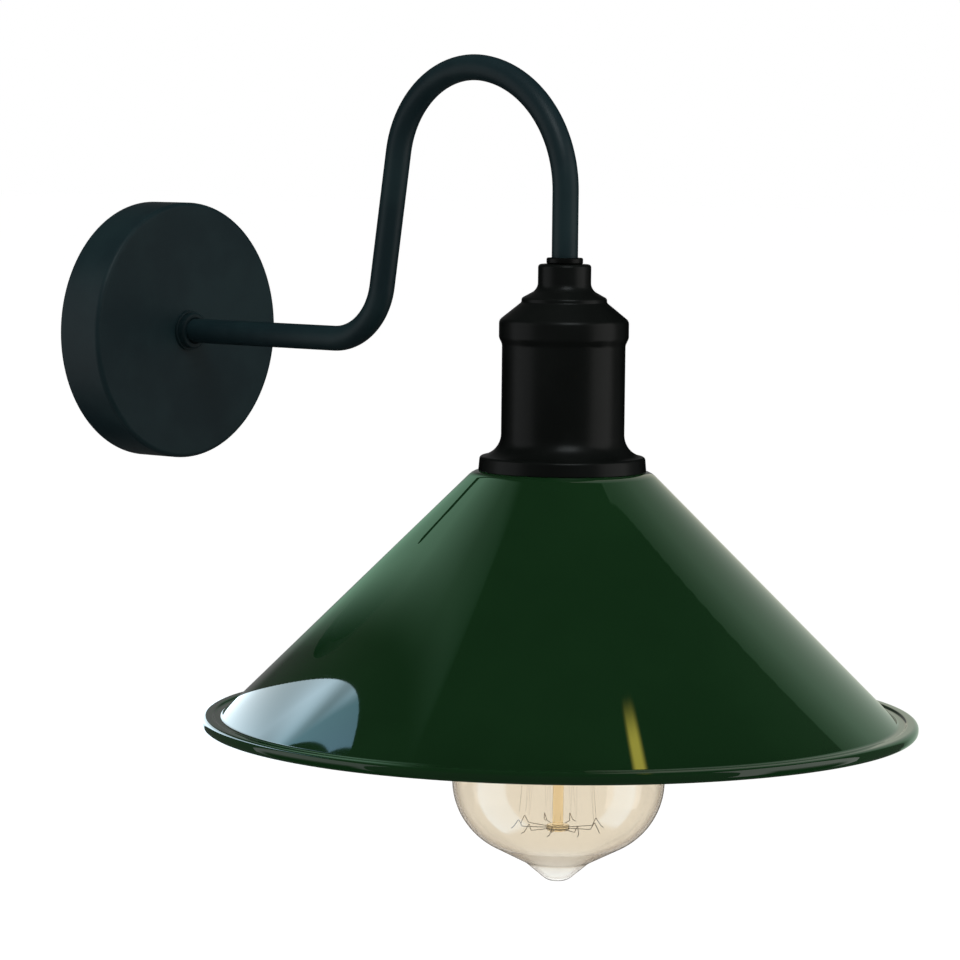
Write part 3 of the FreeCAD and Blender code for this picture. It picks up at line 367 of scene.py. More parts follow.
class GroupKit:
    """The shader node groups that the finishes share, each built once."""

    def __init__(self) -> None:
        self.made: dict[str, bpy.types.ShaderNodeTree] = {}

    def tree(self, name: str, inputs: dict[str, str], outputs: dict[str, str]) -> bpy.types.ShaderNodeTree:
        """Starts a node group.

        Args:
            name: The group's name.
            inputs: Socket types by input name.
            outputs: Socket types by output name.

        Returns:
            The empty group with its sockets.
        """
        tree = bpy.data.node_groups.new(name, "ShaderNodeTree")
        for label, kind in inputs.items():
            tree.interface.new_socket(label, in_out="INPUT", socket_type=kind)
        for label, kind in outputs.items():
            tree.interface.new_socket(label, in_out="OUTPUT", socket_type=kind)
        self.made[name] = tree
        return tree

    def drift(self) -> bpy.types.ShaderNodeTree:
        """Two tones that drift into each other, and the same drift as a value for the gloss."""
        if "tone_drift" in self.made:
            return self.made["tone_drift"]
        tree = self.tree(
            "tone_drift",
            {"Vector": "NodeSocketVector", "Size": "NodeSocketFloat", "Tone": "NodeSocketColor",
             "Second Tone": "NodeSocketColor", "Gloss": "NodeSocketFloat", "Gloss Drift": "NodeSocketFloat"},
            {"Color": "NodeSocketColor", "Roughness": "NodeSocketFloat"},
        )
        net = Net(tree)
        start = net.node("NodeGroupInput")
        end = net.node("NodeGroupOutput")
        per_metre = net.maths("DIVIDE", 1.0, start.outputs["Size"])
        broad = net.noise(start.outputs["Vector"], per_metre, 3.0, 0.55)
        fine = net.noise(start.outputs["Vector"], net.maths("MULTIPLY", per_metre, 9.0), 2.0, 0.5)
        share = net.ranged(broad, 0.35, 0.65, 0.0, 1.0)
        tone = net.blend(share, start.outputs["Tone"], start.outputs["Second Tone"])
        net.link(tone, end.inputs["Color"])
        both = net.maths("ADD", broad, net.maths("MULTIPLY", fine, 0.6))
        swing = net.maths("MULTIPLY", net.maths("SUBTRACT", both, 0.8), start.outputs["Gloss Drift"])
        net.link(net.maths("ADD", start.outputs["Gloss"], swing), end.inputs["Roughness"])
        return tree

    def relief(self, grain: Grain, axis: Axis) -> bpy.types.ShaderNodeTree:
        """The height of a surface's fine relief, from 0 to 1.

        Args:
            grain: The kind of relief.
            axis: What turned rings run about.

        Returns:
            The group, with a vector and a size in, and a height out.
        """
        name = f"{grain.value}_relief_{axis.value}"
        if name in self.made:
            return self.made[name]
        tree = self.tree(
            name, {"Vector": "NodeSocketVector", "Size": "NodeSocketFloat"}, {"Height": "NodeSocketFloat"},
        )
        net = Net(tree)
        start = net.node("NodeGroupInput")
        end = net.node("NodeGroupOutput")
        per_metre = net.maths("DIVIDE", 1.0, start.outputs["Size"])
        if grain is Grain.TURNED:
            parts = net.fill(net.node("ShaderNodeSeparateXYZ"), {"Vector": start.outputs["Vector"]})
            along, across = ("Z", "Y") if axis is Axis.LAMP else ("Y", "Z")
            out = net.maths("SQRT", net.maths(
                "ADD", net.maths("MULTIPLY", parts.outputs["X"], parts.outputs["X"]),
                net.maths("MULTIPLY", parts.outputs[across], parts.outputs[across]),
            ))
            line = net.fill(net.node("ShaderNodeCombineXYZ"), {"X": out, "Y": parts.outputs[along]})
            height = net.noise(line.outputs["Vector"], per_metre, 4.0, 0.7)
        else:
            detail, rough = (2.0, 0.4) if grain is Grain.PEEL else (5.0, 0.55)
            height = net.noise(start.outputs["Vector"], per_metre, detail, rough)
        net.link(height, end.inputs["Height"])
        return tree

    def normal(self, net: "Net", where: bpy.types.NodeSocket, grain: Grain, axis: Axis, size: float,
               depth: float) -> bpy.types.NodeSocket:
        """The normal of a surface with a fine relief.

        Args:
            net: The material's nodes.
            where: The place on the surface.
            grain: The kind of relief.
            axis: What turned rings run about.
            size: The relief's size, in millimetres.
            depth: Its depth, in millimetres.

        Returns:
            The normal.
        """
        relief = net.node("ShaderNodeGroup", node_tree=self.relief(grain, axis))
        height = net.fill(relief, {"Vector": where, "Size": size * MM}).outputs["Height"]
        bump = net.fill(net.node("ShaderNodeBump"), {"Distance": depth * MM, "Height": height})
        return bump.outputs["Normal"]


def material_net(name: str) -> tuple[bpy.types.Material, "Net", bpy.types.Node]:
    """Starts a material.

    Args:
        name: The material's name.

    Returns:
        The material, its net of nodes and its shader.
    """
    material = bpy.data.materials.new(name)
    material.use_nodes = True
    return material, Net(material.node_tree), material.node_tree.nodes["Principled BSDF"]


class Net:
    """Places and joins the nodes of one node tree."""

    def __init__(self, tree: bpy.types.ShaderNodeTree) -> None:
        self.tree = tree

    def node(self, kind: str, **settings: object) -> bpy.types.Node:
        """Adds a node and sets its properties."""
        made = self.tree.nodes.new(kind)
        for key, value in settings.items():
            setattr(made, key, value)
        return made

    def link(self, source: object, target: bpy.types.NodeSocket) -> None:
        """Joins a source to a socket, or sets the socket if the source is a plain value."""
        if isinstance(source, bpy.types.NodeSocket):
            self.tree.links.new(source, target)
        else:
            target.default_value = source

    def fill(self, node: bpy.types.Node, values: dict[str, object]) -> bpy.types.Node:
        """Joins or sets a node's inputs by their names."""
        for name, source in values.items():
            self.link(source, node.inputs[name])
        return node

    def blend(self, share: object, first: object, second: object) -> bpy.types.NodeSocket:
        """The colour at a share of the way between two colours."""
        mix = self.node("ShaderNodeMix", data_type="RGBA")
        return self.fill(mix, {"Factor": share, "A": first, "B": second}).outputs["Result"]

    def along(self, direction: object, axis: Vector) -> bpy.types.NodeSocket:
        """How far a direction points along an axis."""
        made = self.node("ShaderNodeVectorMath", operation="DOT_PRODUCT")
        self.link(direction, made.inputs[0])
        made.inputs[1].default_value = axis
        return made.outputs["Value"]

    def maths(self, operation: str, first: object, second: object = 0.0) -> bpy.types.NodeSocket:
        """The result of a Math node."""
        made = self.node("ShaderNodeMath", operation=operation)
        self.link(first, made.inputs[0])
        self.link(second, made.inputs[1])
        return made.outputs[0]

    def ranged(self, value: object, low: float, high: float, at_low: float,
               at_high: float) -> bpy.types.NodeSocket:
        """The value, eased from one range to another and clamped."""
        made = self.node("ShaderNodeMapRange", interpolation_type="SMOOTHSTEP")
        for socket, number in zip(made.inputs, (value, low, high, at_low, at_high)):
            self.link(number, socket)
        return made.outputs[0]

    def noise(self, vector: object, scale: object, detail: float, rough: float) -> bpy.types.NodeSocket:
        """The value of a Noise Texture."""
        values = {"Vector": vector, "Scale": scale, "Detail": detail, "Roughness": rough}
        return self.fill(self.node("ShaderNodeTexNoise"), values).outputs["Fac"]


@dataclass(frozen=True)
class Finish:
    """An opaque finish, with a drift of tone and gloss and a fine relief. Sizes in millimetres."""

    name: str
    tone: Colour
    second_tone: Colour
    roughness: float
    roughness_drift: float = 0.10
    drift_size: float = 30.0
    grain: Grain = Grain.CAST
    axis: Axis = Axis.LAMP
    grain_size: float = 0.8
    grain_depth: float = 0.01
    metallic: float = 0.0
    specular: float = 0.5
    coat: float = 0.0
    coat_roughness: float = 0.03

    def build(self, kit: GroupKit, layout: Layout) -> bpy.types.Material:
        """Makes the material.

        Args:
            kit: The shared node groups.
            layout: Where the lamp's axis is, for turned rings.

        Returns:
            The material.
        """
        material, net, shader = material_net(self.name)
        where = self.centred(net, layout)
        drift = net.fill(net.node("ShaderNodeGroup", node_tree=kit.drift()), {
            "Vector": where, "Size": self.drift_size * MM, "Tone": (*self.tone, 1),
            "Second Tone": (*self.second_tone, 1), "Gloss": self.roughness,
            "Gloss Drift": self.roughness_drift,
        })
        net.fill(shader, {
            "Base Color": drift.outputs["Color"], "Roughness": drift.outputs["Roughness"],
            "Normal": kit.normal(net, where, self.grain, self.axis, self.grain_size, self.grain_depth),
            "Metallic": self.metallic, "Specular IOR Level": self.specular,
            "Coat Weight": self.coat, "Coat Roughness": self.coat_roughness,
        })
        return material

    def centred(self, net: Net, layout: Layout) -> bpy.types.NodeSocket:
        """Object coordinates, moved so that a lamp finish has its rings about the lamp's axis."""
        coordinates = net.node("ShaderNodeTexCoord")
        mapping = net.node("ShaderNodeMapping")
        net.link(coordinates.outputs["Object"], mapping.inputs["Vector"])
        if self.axis is Axis.LAMP:
            mapping.inputs["Location"].default_value = (0, layout.reach, -layout.seat)
        return mapping.outputs["Vector"]


@dataclass(frozen=True)
class Glass:
    """A clear finish with a tint, which may pale towards the foot and may carry painted shade along its
    outline.
    """

    name: str
    tint: Colour
    roughness: float = 0.0
    ior: float = 1.46
    transmission: float = 1.0
    ripple_size: float = 22.0
    ripple_depth: float = 0.02
    # Painted shade: a darker tint on the outline, where the surface turns edge-on to the view, over this
    # range of facing.
    painted_edge_shade: Colour | None = None
    edge_shade_range: tuple[float, float] = (0.55, 0.97)
    foot_tint: Colour | None = None
    foot_levels: tuple[float, float] = (0.0, 0.0)

    def build(self, kit: GroupKit, layout: Layout) -> bpy.types.Material:
        """Makes the material.

        Args:
            kit: The shared node groups.
            layout: Where the lamp's seat is, for a tint that pales towards the foot.

        Returns:
            The material.
        """
        material, net, shader = material_net(self.name)
        where = net.node("ShaderNodeTexCoord").outputs["Object"]
        tint = (*self.tint, 1)
        if self.foot_tint is not None:
            parts = net.fill(net.node("ShaderNodeSeparateXYZ"), {"Vector": where})
            low, high = (layout.seat + level * MM for level in self.foot_levels)
            share = net.ranged(parts.outputs["Z"], low, high, 0.0, 1.0)
            tint = net.blend(share, (*self.foot_tint, 1), tint)
        # Painted shade: the tint darkens towards the outline as the surface turns edge-on to the view.
        if self.painted_edge_shade is not None:
            facing = net.node("ShaderNodeLayerWeight").outputs["Facing"]
            tint = net.blend(net.ranged(facing, *self.edge_shade_range, 0.0, 1.0), tint, (*self.painted_edge_shade, 1))
        net.fill(shader, {
            "Base Color": tint, "Roughness": self.roughness, "IOR": self.ior,
            "Transmission Weight": self.transmission,
            "Normal": kit.normal(net, where, Grain.CAST, Axis.LAMP, self.ripple_size, self.ripple_depth),
        })
        return material


FINISHES: dict[str, Finish | Glass] = {
    "arm_paint": Finish(
        "blue_black_powder_coat", (0.0056, 0.0140, 0.0168), (0.0080, 0.0190, 0.0215), 0.42,
        axis=Axis.ARM, grain=Grain.PEEL, grain_size=0.9, grain_depth=0.02, specular=0.16,
    ),
    "cup_paint": Finish(
        "satin_black_paint", (0.0030, 0.0036, 0.0032), (0.0042, 0.0049, 0.0045), 0.32,
        grain=Grain.PEEL, grain_size=0.6, grain_depth=0.012, specular=0.12,
    ),
    "shade_enamel": Finish(
        "green_enamel", (0.0052, 0.0230, 0.0068), (0.0062, 0.0265, 0.0080), 0.34,
        roughness_drift=0.04, drift_size=70, grain=Grain.PEEL, grain_size=14, grain_depth=0.012, specular=0.0,
        coat=1.0, coat_roughness=0.02,
    ),
    "shade_inside": Finish(
        "white_enamel", (0.78, 0.77, 0.73), (0.82, 0.81, 0.78), 0.32, roughness_drift=0.08,
        drift_size=45, grain=Grain.PEEL, grain_size=9, grain_depth=0.015,
    ),
    "zinc_steel": Finish(
        "zinc_plate", (0.58, 0.58, 0.55), (0.66, 0.65, 0.60), 0.36, drift_size=6,
        axis=Axis.ARM, grain_size=0.7, grain_depth=0.01, metallic=1.0,
    ),
    "brass_parts": Finish(
        "plain_brass", (0.74, 0.54, 0.23), (0.66, 0.46, 0.19), 0.28, drift_size=5,
        axis=Axis.ARM, grain_size=0.5, grain_depth=0.008, metallic=1.0,
    ),
    "white_nylon": Finish(
        "moulded_nylon", (0.78, 0.77, 0.71), (0.84, 0.83, 0.78), 0.46, drift_size=12,
        grain_size=0.8, grain_depth=0.012,
    ),
    "grommet_rubber": Finish(
        "moulded_rubber", (0.020, 0.020, 0.021), (0.030, 0.029, 0.028), 0.68, drift_size=5,
        grain_size=0.3, grain_depth=0.012,
    ),
    "brown_insulation": Finish(
        "brown_insulation", (0.10, 0.034, 0.014), (0.13, 0.045, 0.020), 0.42, drift_size=8,
        grain_size=0.4, grain_depth=0.006,
    ),
    "blue_insulation": Finish(
        "blue_insulation", (0.018, 0.075, 0.30), (0.026, 0.095, 0.36), 0.42, drift_size=8,
        grain_size=0.4, grain_depth=0.006,
    ),
    "green_yellow_insulation": Finish(
        "green_yellow_insulation", (0.03, 0.26, 0.045), (0.70, 0.62, 0.04), 0.42, drift_size=3,
        grain_size=0.4, grain_depth=0.006,
    ),
    "black_phenolic": Finish(
        "black_phenolic", (0.0115, 0.0105, 0.0100), (0.0170, 0.0150, 0.0135), 0.26, drift_size=14,
        grain_size=1.2, grain_depth=0.010,
    ),
    "porcelain": Finish(
        "glazed_porcelain", (0.76, 0.74, 0.68), (0.83, 0.82, 0.77), 0.24, drift_size=10,
        grain_size=2.0, grain_depth=0.03, coat=0.6,
    ),
    "amber_glass": Glass(
        "champagne_glass", (0.885, 0.825, 0.720), foot_tint=(0.955, 0.950, 0.915),
        # The dark edge colour is painted shade on the bulb's outline.
        foot_levels=(-147.0, -141.0), painted_edge_shade=(0.34, 0.26, 0.18),
    ),
    "stem_glass": Glass("golden_glass", (0.95, 0.79, 0.51), ior=1.5),
    "cap_metal": Finish(
        "rolled_brass", (0.72, 0.56, 0.29), (0.64, 0.49, 0.25), 0.30, drift_size=9, grain=Grain.TURNED,
        grain_size=0.5, grain_depth=0.010, metallic=1.0,
    ),
    "insulator_glass": Finish(
        "black_glass", (0.010, 0.010, 0.013), (0.016, 0.014, 0.018), 0.12, drift_size=4,
        grain_size=1.5, grain_depth=0.02,
    ),
    "solder": Finish(
        "dull_solder", (0.52, 0.52, 0.50), (0.62, 0.61, 0.58), 0.42, drift_size=2,
        grain_size=1.0, grain_depth=0.05, metallic=1.0,
    ),
    "cage_wire": Finish(
        "drawn_wire", (0.16, 0.13, 0.095), (0.22, 0.18, 0.13), 0.34, drift_size=2,
        grain_size=0.3, grain_depth=0.004, metallic=1.0,
    ),
    "filament_wire": Finish(
        "carbonised_wire", (0.20, 0.13, 0.075), (0.28, 0.18, 0.10), 0.48, drift_size=2,
        grain_size=0.2, grain_depth=0.004, metallic=0.6,
    ),
}


class Dresser:
    """Gives pieces and CAD nodes their finishes."""

    def __init__(self, layout: Layout) -> None:
        self.layout = layout
        self.kit = GroupKit()
        self.materials: dict[str, bpy.types.Material] = {}

    def finish(self, slot: str) -> bpy.types.Material:
        """The material of a slot, made when it is first asked for."""
        if slot not in self.materials:
            self.materials[slot] = FINISHES[slot].build(self.kit, self.layout)
        return self.materials[slot]

    def dress(self, piece: bpy.types.Object, slot: str, body: str, nodes: Sequence[str] = (),
              inside: str | None = None) -> bpy.types.Object:
        """Finishes a new piece and hangs it on its body.

        Args:
            piece: The piece.
            slot: The material slot of the record that it takes its finish from.
            body: The body that it moves with.
            nodes: The CAD nodes that it stands for.
            inside: The finish of the inner side of its sheet, if that differs.

        Returns:
            The same piece.
        """
        piece.data.materials.append(self.finish(slot))
        if inside is not None:
            piece.data.materials.append(self.finish(inside))
        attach(piece, body)
        if nodes:
            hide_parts(*nodes)
        log.info("%s on %s, in %s", piece.name, body, slot)
        return piece

    def dress_nodes(self) -> None:
        """Finishes every CAD node that still shows."""
        for part in frame["record"]["subparts"]:
            node = frame["nodes"][part["node"]]
            if node.hide_render:
                continue
            node.data.materials.clear()
            node.data.materials.append(self.finish(part["material_slot"]))
            log.info("%s kept from the CAD model, in %s", node.name, part["material_slot"])


# ---- The sub-assemblies ------------------------------------------------------------------------
class Assembly:
    """A sub-assembly of the lamp."""

    def build(self, layout: Layout, dresser: Dresser) -> None:
        """Models the pieces, finishes them and hangs them on their bodies.

        Args:
            layout: Places of the lamp and the wall frame.
            dresser: Gives the pieces their finishes.
        """
        raise NotImplementedError


@dataclass
class ArmRoot(Assembly):
    """The small rings at the arm's root. Behind them the canopy shows as the CAD model has it."""

    depth: float = 20.0
    washer_diameter: float = 15.6
    washer_height: float = 1.2
    collar_diameter: float = 14.0
    collar_height: float = 2.6
    collar_edge: float = 0.8
    washer_edge: float = 0.4
    bore_edge: float = 0.3
    bore: float = 10.0

    def build(self, layout: Layout, dresser: Dresser) -> None:
        """Models the washer and the collar."""
        place = layout.wall()
        washer_top = self.depth + self.washer_height
        washer = turned("root_washer_ring", [
            Corner(self.bore / 2, self.depth),
            Corner(self.washer_diameter / 2, self.depth),
            Corner(self.washer_diameter / 2, washer_top, self.washer_edge),
            Corner(self.bore / 2, washer_top),
            Corner(self.bore / 2, self.depth),
        ], place)
        dresser.dress(washer, "arm_paint", "fixture", ["root_washer"])
        collar_top = washer_top + self.collar_height
        collar = turned("root_collar_ring", [
            Corner(self.bore / 2, washer_top),
            Corner(self.collar_diameter / 2, washer_top),
            Corner(self.collar_diameter / 2, collar_top, self.collar_edge),
            Corner(self.bore / 2, collar_top, self.bore_edge),
            Corner(self.bore / 2, washer_top),
        ], place)
        dresser.dress(collar, "arm_paint", "fixture", ["root_collar"])


@dataclass
class Gooseneck(Assembly):
    """The bent arm and the ring that closes on the cup."""

    diameter: float = 9.5
    wall: float = 1.0
    canopy_depth: float = 20.0
    start: float = 12.0
    straight_out: float = 77.0
    root_bend: float = 24.0
    lean: float = 8.6
    riser: float = 51.0
    hook_radius: float = 36.5
    tip_radius: float = 45.0
    ring_diameter: float = 13.2
    ring_bottom: float = 74.6
    ring_height: float = 2.3
    ring_edge: float = 0.6
    thread_diameter: float = 9.9

    def build(self, layout: Layout, dresser: Dresser) -> None:
        """Models the tube and the lock ring."""
        low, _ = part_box("arm_tube")
        steps = [
            Run(self.canopy_depth + self.straight_out - self.start),
            Bend(self.root_bend, 90 - self.lean),
            Run(self.riser),
            Bend(self.hook_radius, -90),
            Bend(self.tip_radius, self.lean - 90),
            Run(self.hook_end() - low.z / MM),
        ]
        tube = bent_tube("arm", self.diameter, self.start, steps)
        sheet(tube, Wall(self.wall, 0.2))
        dresser.dress(tube, "arm_paint", "fixture", ["arm_tube"])
        top = self.ring_bottom + self.ring_height
        inner = self.thread_diameter / 2
        ring = turned("arm_lock_ring", [
            Corner(inner, self.ring_bottom),
            Corner(self.ring_diameter / 2, self.ring_bottom, self.ring_edge),
            Corner(self.ring_diameter / 2, top, self.ring_edge),
            Corner(inner, top),
            Corner(inner, self.ring_bottom),
        ], layout.lamp())
        dresser.dress(ring, "cup_paint", "fixture", ["lock_ring"])

    def hook_end(self) -> float:
        """Height above the canopy's axis at which the hook ends and the tube drops straight."""
        rise, slant = math.cos(math.radians(self.lean)), math.sin(math.radians(self.lean))
        foot = self.root_bend * (1 - slant) + self.riser * rise
        return foot + self.hook_radius * (rise - slant) - self.tip_radius * rise


@dataclass
class Cup(Assembly):
    """The spun black cup over the lamp holder."""

    height: float = 74.6
    wall: float = 1.0
    neck: float = 19.2
    neck_height: float = 9.1
    step: float = 30.9
    step_drop: float = 12.3
    step_height: float = 1.5
    band: float = 46.9
    band_drop: float = 20.3
    band_height: float = 6.3
    flare: float = 2.4
    body: float = 44.6
    foot: float = 60.8
    foot_taper: float = 0.45
    foot_height: float = 5.1
    foot_rise: float = 1.35
    foot_sweep: float = 8.0
    hole: float = 10.1
    foot_round: float = 1.2
    flare_round: float = 3.0
    band_round: float = 2.4
    shoulder_round: float = 1.0
    step_round: float = 1.25
    neck_sweep: float = 4.0
    top_round: float = 1.2

    def build(self, layout: Layout, dresser: Dresser) -> None:
        """Models the cup."""
        band_top = self.height - self.band_drop
        band_bottom = band_top - self.band_height
        step_top = self.height - self.step_drop
        cup = turned("cup", [
            Corner(self.foot / 2, 0),
            Corner(self.foot / 2 - self.foot_taper, self.foot_height, self.foot_round),
            Corner(self.body / 2, self.foot_height + self.foot_rise, self.foot_sweep),
            Corner(self.body / 2, band_bottom - self.flare, self.flare_round),
            Corner(self.band / 2, band_bottom, self.flare_round),
            Corner(self.band / 2, band_top, self.band_round),
            Corner(self.step / 2, step_top - self.step_height, self.shoulder_round),
            Corner(self.step / 2, step_top, self.step_round),
            Corner(self.neck / 2, self.height - self.neck_height, self.neck_sweep),
            Corner(self.neck / 2, self.height, self.top_round),
            Corner(self.hole / 2, self.height),
        ], layout.lamp(), 224, 8.0)
        sheet(cup, Wall(self.wall, 0.2))
        dresser.dress(cup, "cup_paint", "fixture", ["holder_cup"])


@dataclass
class Shade(Assembly):
    """The spun green shade: flat top, cone, gutter and rolled edge."""

    diameter: float = 260.0
    height: float = 93.5
    top: float = 64.0
    hole: float = 41.0
    sheet: float = 0.8
    shoulder: float = 6.0
    bead_height: float = 4.4
    bead_width: float = 4.1
    bead_radius: float = 1.9
    ledge_width: float = 2.5
    ledge_depth: float = 0.8
    ledge_corner: float = 1.2
    gutter_round: float = 2.0
    lip_round: float = 1.0
    curl: float = 0.55

    def build(self, layout: Layout, dresser: Dresser) -> None:
        """Models the shade."""
        rim = self.diameter / 2
        bead_top = self.bead_height - self.height
        gutter = bead_top - self.ledge_depth
        bead_inner = rim - self.bead_width
        shade = turned("shade_cone", [
            Corner(self.hole / 2, 0),
            Corner(self.top / 2, 0, self.shoulder),
            Corner(bead_inner - self.ledge_depth - self.ledge_width, gutter, self.gutter_round),
            Corner(bead_inner - self.ledge_depth, gutter, self.ledge_corner),
            Corner(bead_inner, bead_top, self.lip_round),
            Corner(rim, bead_top, self.bead_radius),
            Corner(rim, -self.height, self.bead_radius),
            Corner(bead_inner, -self.height, self.bead_radius),
            Corner(bead_inner, -self.height + self.bead_height * self.curl),
        ], layout.lamp(), 256, 12.0)
        sheet(shade, Wall(self.sheet, 0.15, 1))
        dresser.dress(shade, "shade_enamel", "shade", ["shade"], inside="shade_inside")


@dataclass
class Bulb(Assembly):
    """The large pear bulb: glass, rod with its hubs, supports and filament."""

    top: float = 11.6
    length: float = 161.7
    diameter: float = 77.4
    glass: float = 0.9
    neck: float = 24.8
    neck_top: float = -5.9
    neck_straight: float = -19.9
    neck_sweep: float = 20.0
    belly_drop: float = 37.1
    belly_shoulder: float = 40.0
    belly_rise: float = 16.0
    globe_radius: float = 27.0
    under_slope: float = 27.0
    tip_slope: float = 40.0
    tip_foot: float = 11.8
    tip_round: float = 6.0
    tip_hollow: float = 8.0
    hub_above_tip: float = 19.4
    cage_height: float = 68.0
    hub: float = 8.6
    hub_height: float = 2.2
    hub_round: float = 0.7
    rod: float = 4.0
    rod_fillet: float = 0.4
    lower_radius: float = 17.0
    upper_radius: float = 12.0
    turns: int = 9
    support: float = 0.28
    filament: float = 0.05
    support_root: float = 0.5
    hook_start: float = 4.0
    hook_inset: float = 2.6
    hook_end: float = 0.8
    hooks: float = 3.0
    filament_share: float = 0.8

    def tip(self) -> float:
        """Height of the glass tip."""
        return self.top - self.length

    def build(self, layout: Layout, dresser: Dresser) -> None:
        """Models the glass and what it holds."""
        place = layout.lamp()
        glass = turned("glass_envelope", self.glass_outline(), place, 192, 4.0)
        sheet(glass, Wall(self.glass))
        dresser.dress(glass, "amber_glass", "bulb", ["bulb_glass"])
        rod = turned("glass_rod", self.rod_outline(), place, 64)
        dresser.dress(rod, "stem_glass", "bulb", ["bulb_rod"])
        supports = wires("support_wires", self.support_paths(), self.support, place, 12)
        dresser.dress(supports, "cage_wire", "bulb", ["filament_supports"])
        strand = wires("filament_strand", [self.filament_path()], self.filament, place)
        dresser.dress(strand, "filament_wire", "bulb", ["filament"])

    def glass_outline(self) -> list[Corner]:
        """The outside of the glass, from inside the cap down to the tip."""
        belly = self.diameter / 2
        widest = self.tip() + self.belly_drop
        slope = math.radians(self.under_slope)
        corner_height = widest - self.globe_radius * math.tan((math.pi / 2 - slope) / 2)
        foot_height = corner_height - (belly - self.tip_foot) * math.tan(slope)
        tip_corner = self.tip_foot - (foot_height - self.tip()) / math.tan(math.radians(self.tip_slope))
        return [
            Corner(self.neck / 2, self.neck_top),
            Corner(self.neck / 2, self.neck_straight, self.neck_sweep),
            Corner(belly, widest + self.belly_rise, self.belly_shoulder),
            Corner(belly, corner_height, self.globe_radius),
            Corner(self.tip_foot, foot_height, self.tip_hollow),
            Corner(tip_corner, self.tip(), self.tip_round),
            Corner(0, self.tip()),
        ]

    def rod_outline(self) -> list[Corner]:
        """The rod, with a flat hub at its foot and one further up, from its foot upwards."""
        top = (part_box("bulb_rod")[1].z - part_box("shade")[1].z) / MM
        half = self.hub_height / 2
        outline = [Corner(0, self.hub_level(0) - half)]
        for step in (0, 1):
            level = self.hub_level(step)
            if step == 1:
                outline.append(Corner(self.rod / 2, level - half, self.rod_fillet))
            outline += [
                Corner(self.hub / 2, level - half, self.hub_round),
                Corner(self.hub / 2, level + half, self.hub_round),
                Corner(self.rod / 2, level + half, self.rod_fillet),
            ]
        return outline + [Corner(self.rod / 2, top), Corner(0, top)]

    def hub_level(self, step: int) -> float:
        """Height of the middle of a hub: 0 is the lower one, 1 the upper one."""
        return self.tip() + self.hub_above_tip + step * self.cage_height

    def cage_places(self) -> list[tuple[float, float, float, int]]:
        """Where the filament turns, in order: above at even places, below at odd ones.

        Returns:
            Each place's radius, angle and height, and which way its hook points, up being 1.
        """
        places = []
        for index in range(2 * self.turns + 1):
            angle = math.pi * index / (self.turns + 0.5)
            if index % 2 == 0:
                places.append((self.upper_radius, angle, self.hub_level(1), -1))
            else:
                places.append((self.lower_radius, angle, self.hub_level(0), 1))
        return places

    def support_paths(self) -> list[list[Vector]]:
        """Each support: straight out of its hub, with a small pointed loop at its end."""
        paths = []
        for radius, angle, height, inward in self.cage_places():
            steps = [
                (self.hub / 2 - self.support_root, 0.0, 0.0),
                (radius - self.hook_start, 0.0, 0.3),
                (radius - self.hook_inset, 0.6, self.hooks),
                (radius - self.hook_end, 0.0, 0.2),
                (radius, -0.9, -0.5),
            ]
            paths.append([
                around(out, angle + aside / radius, height + inward * up) for out, aside, up in steps
            ])
        return paths

    def filament_path(self) -> list[Vector]:
        """The filament's line, which zigzags round between the loops."""
        level = self.hooks * self.filament_share
        return [
            around(radius - self.hook_inset, angle, height + inward * level)
            for radius, angle, height, inward in self.cage_places()
        ]


# ---- Studio ------------------------------------------------------------------------------------
@dataclass
class Viewpoint:
    """The photograph's camera."""

    azimuth: float = -50.17
    elevation: float = 5.0
    roll: float = 0.6
    distance: float = 1.40457
    target: Point = (0.0, -0.16951, -0.04935)
    lens: float = 143.0

    def back(self) -> Vector:
        """From the lamp to the camera."""
        side, up = math.radians(self.azimuth), math.radians(self.elevation)
        return Vector((math.sin(side) * math.cos(up), -math.cos(side) * math.cos(up), math.sin(up)))

    def right(self) -> Vector:
        """Towards the right of the picture."""
        side = math.radians(self.azimuth)
        return Vector((math.cos(side), math.sin(side), 0))

    def towards(self, aside: float, up: float) -> Vector:
        """A direction by how the picture sees it.

        Args:
            aside: Degrees from the camera's side of the lamp towards the picture's right.
            up: Degrees above the horizon.

        Returns:
            The direction from the lamp.
        """
        level = Vector((self.back().x, self.back().y, 0)).normalized()
        turn, rise = math.radians(aside), math.radians(up)
        flat = level * math.cos(turn) + self.right() * math.sin(turn)
        return flat * math.cos(rise) + Vector((0, 0, math.sin(rise)))

    def build(self) -> None:
        """Makes the camera."""
        back, right = self.back(), self.right()
        up = back.cross(right)
        roll = math.radians(self.roll)
        across = right * math.cos(roll) + up * math.sin(roll)
        above = up * math.cos(roll) - right * math.sin(roll)
        data = bpy.data.cameras.new("camera")
        data.lens = self.lens
        data.sensor_width = 36.0
        data.clip_end = 100.0
        camera = bpy.data.objects.new("camera", data)
        pose = Matrix((across, above, back)).transposed().to_4x4()
        pose.translation = Vector(self.target) + back * self.distance
        camera.matrix_world = pose
        bpy.context.scene.collection.objects.link(camera)
        bpy.context.scene.camera = camera


def aim_at(light: bpy.types.Object, pieces: Sequence[str]) -> None:
    """Lets a light reach some pieces only.

    Args:
        light: The lamp or board.
        pieces: The names of the pieces that it lights. With none, it lights everything.
    """
    if not pieces:
        return
    lit = bpy.data.collections.new(light.name + "_reach")
    for name in pieces:
        lit.objects.link(bpy.data.objects[name])
    light.light_linking.receiver_collection = lit


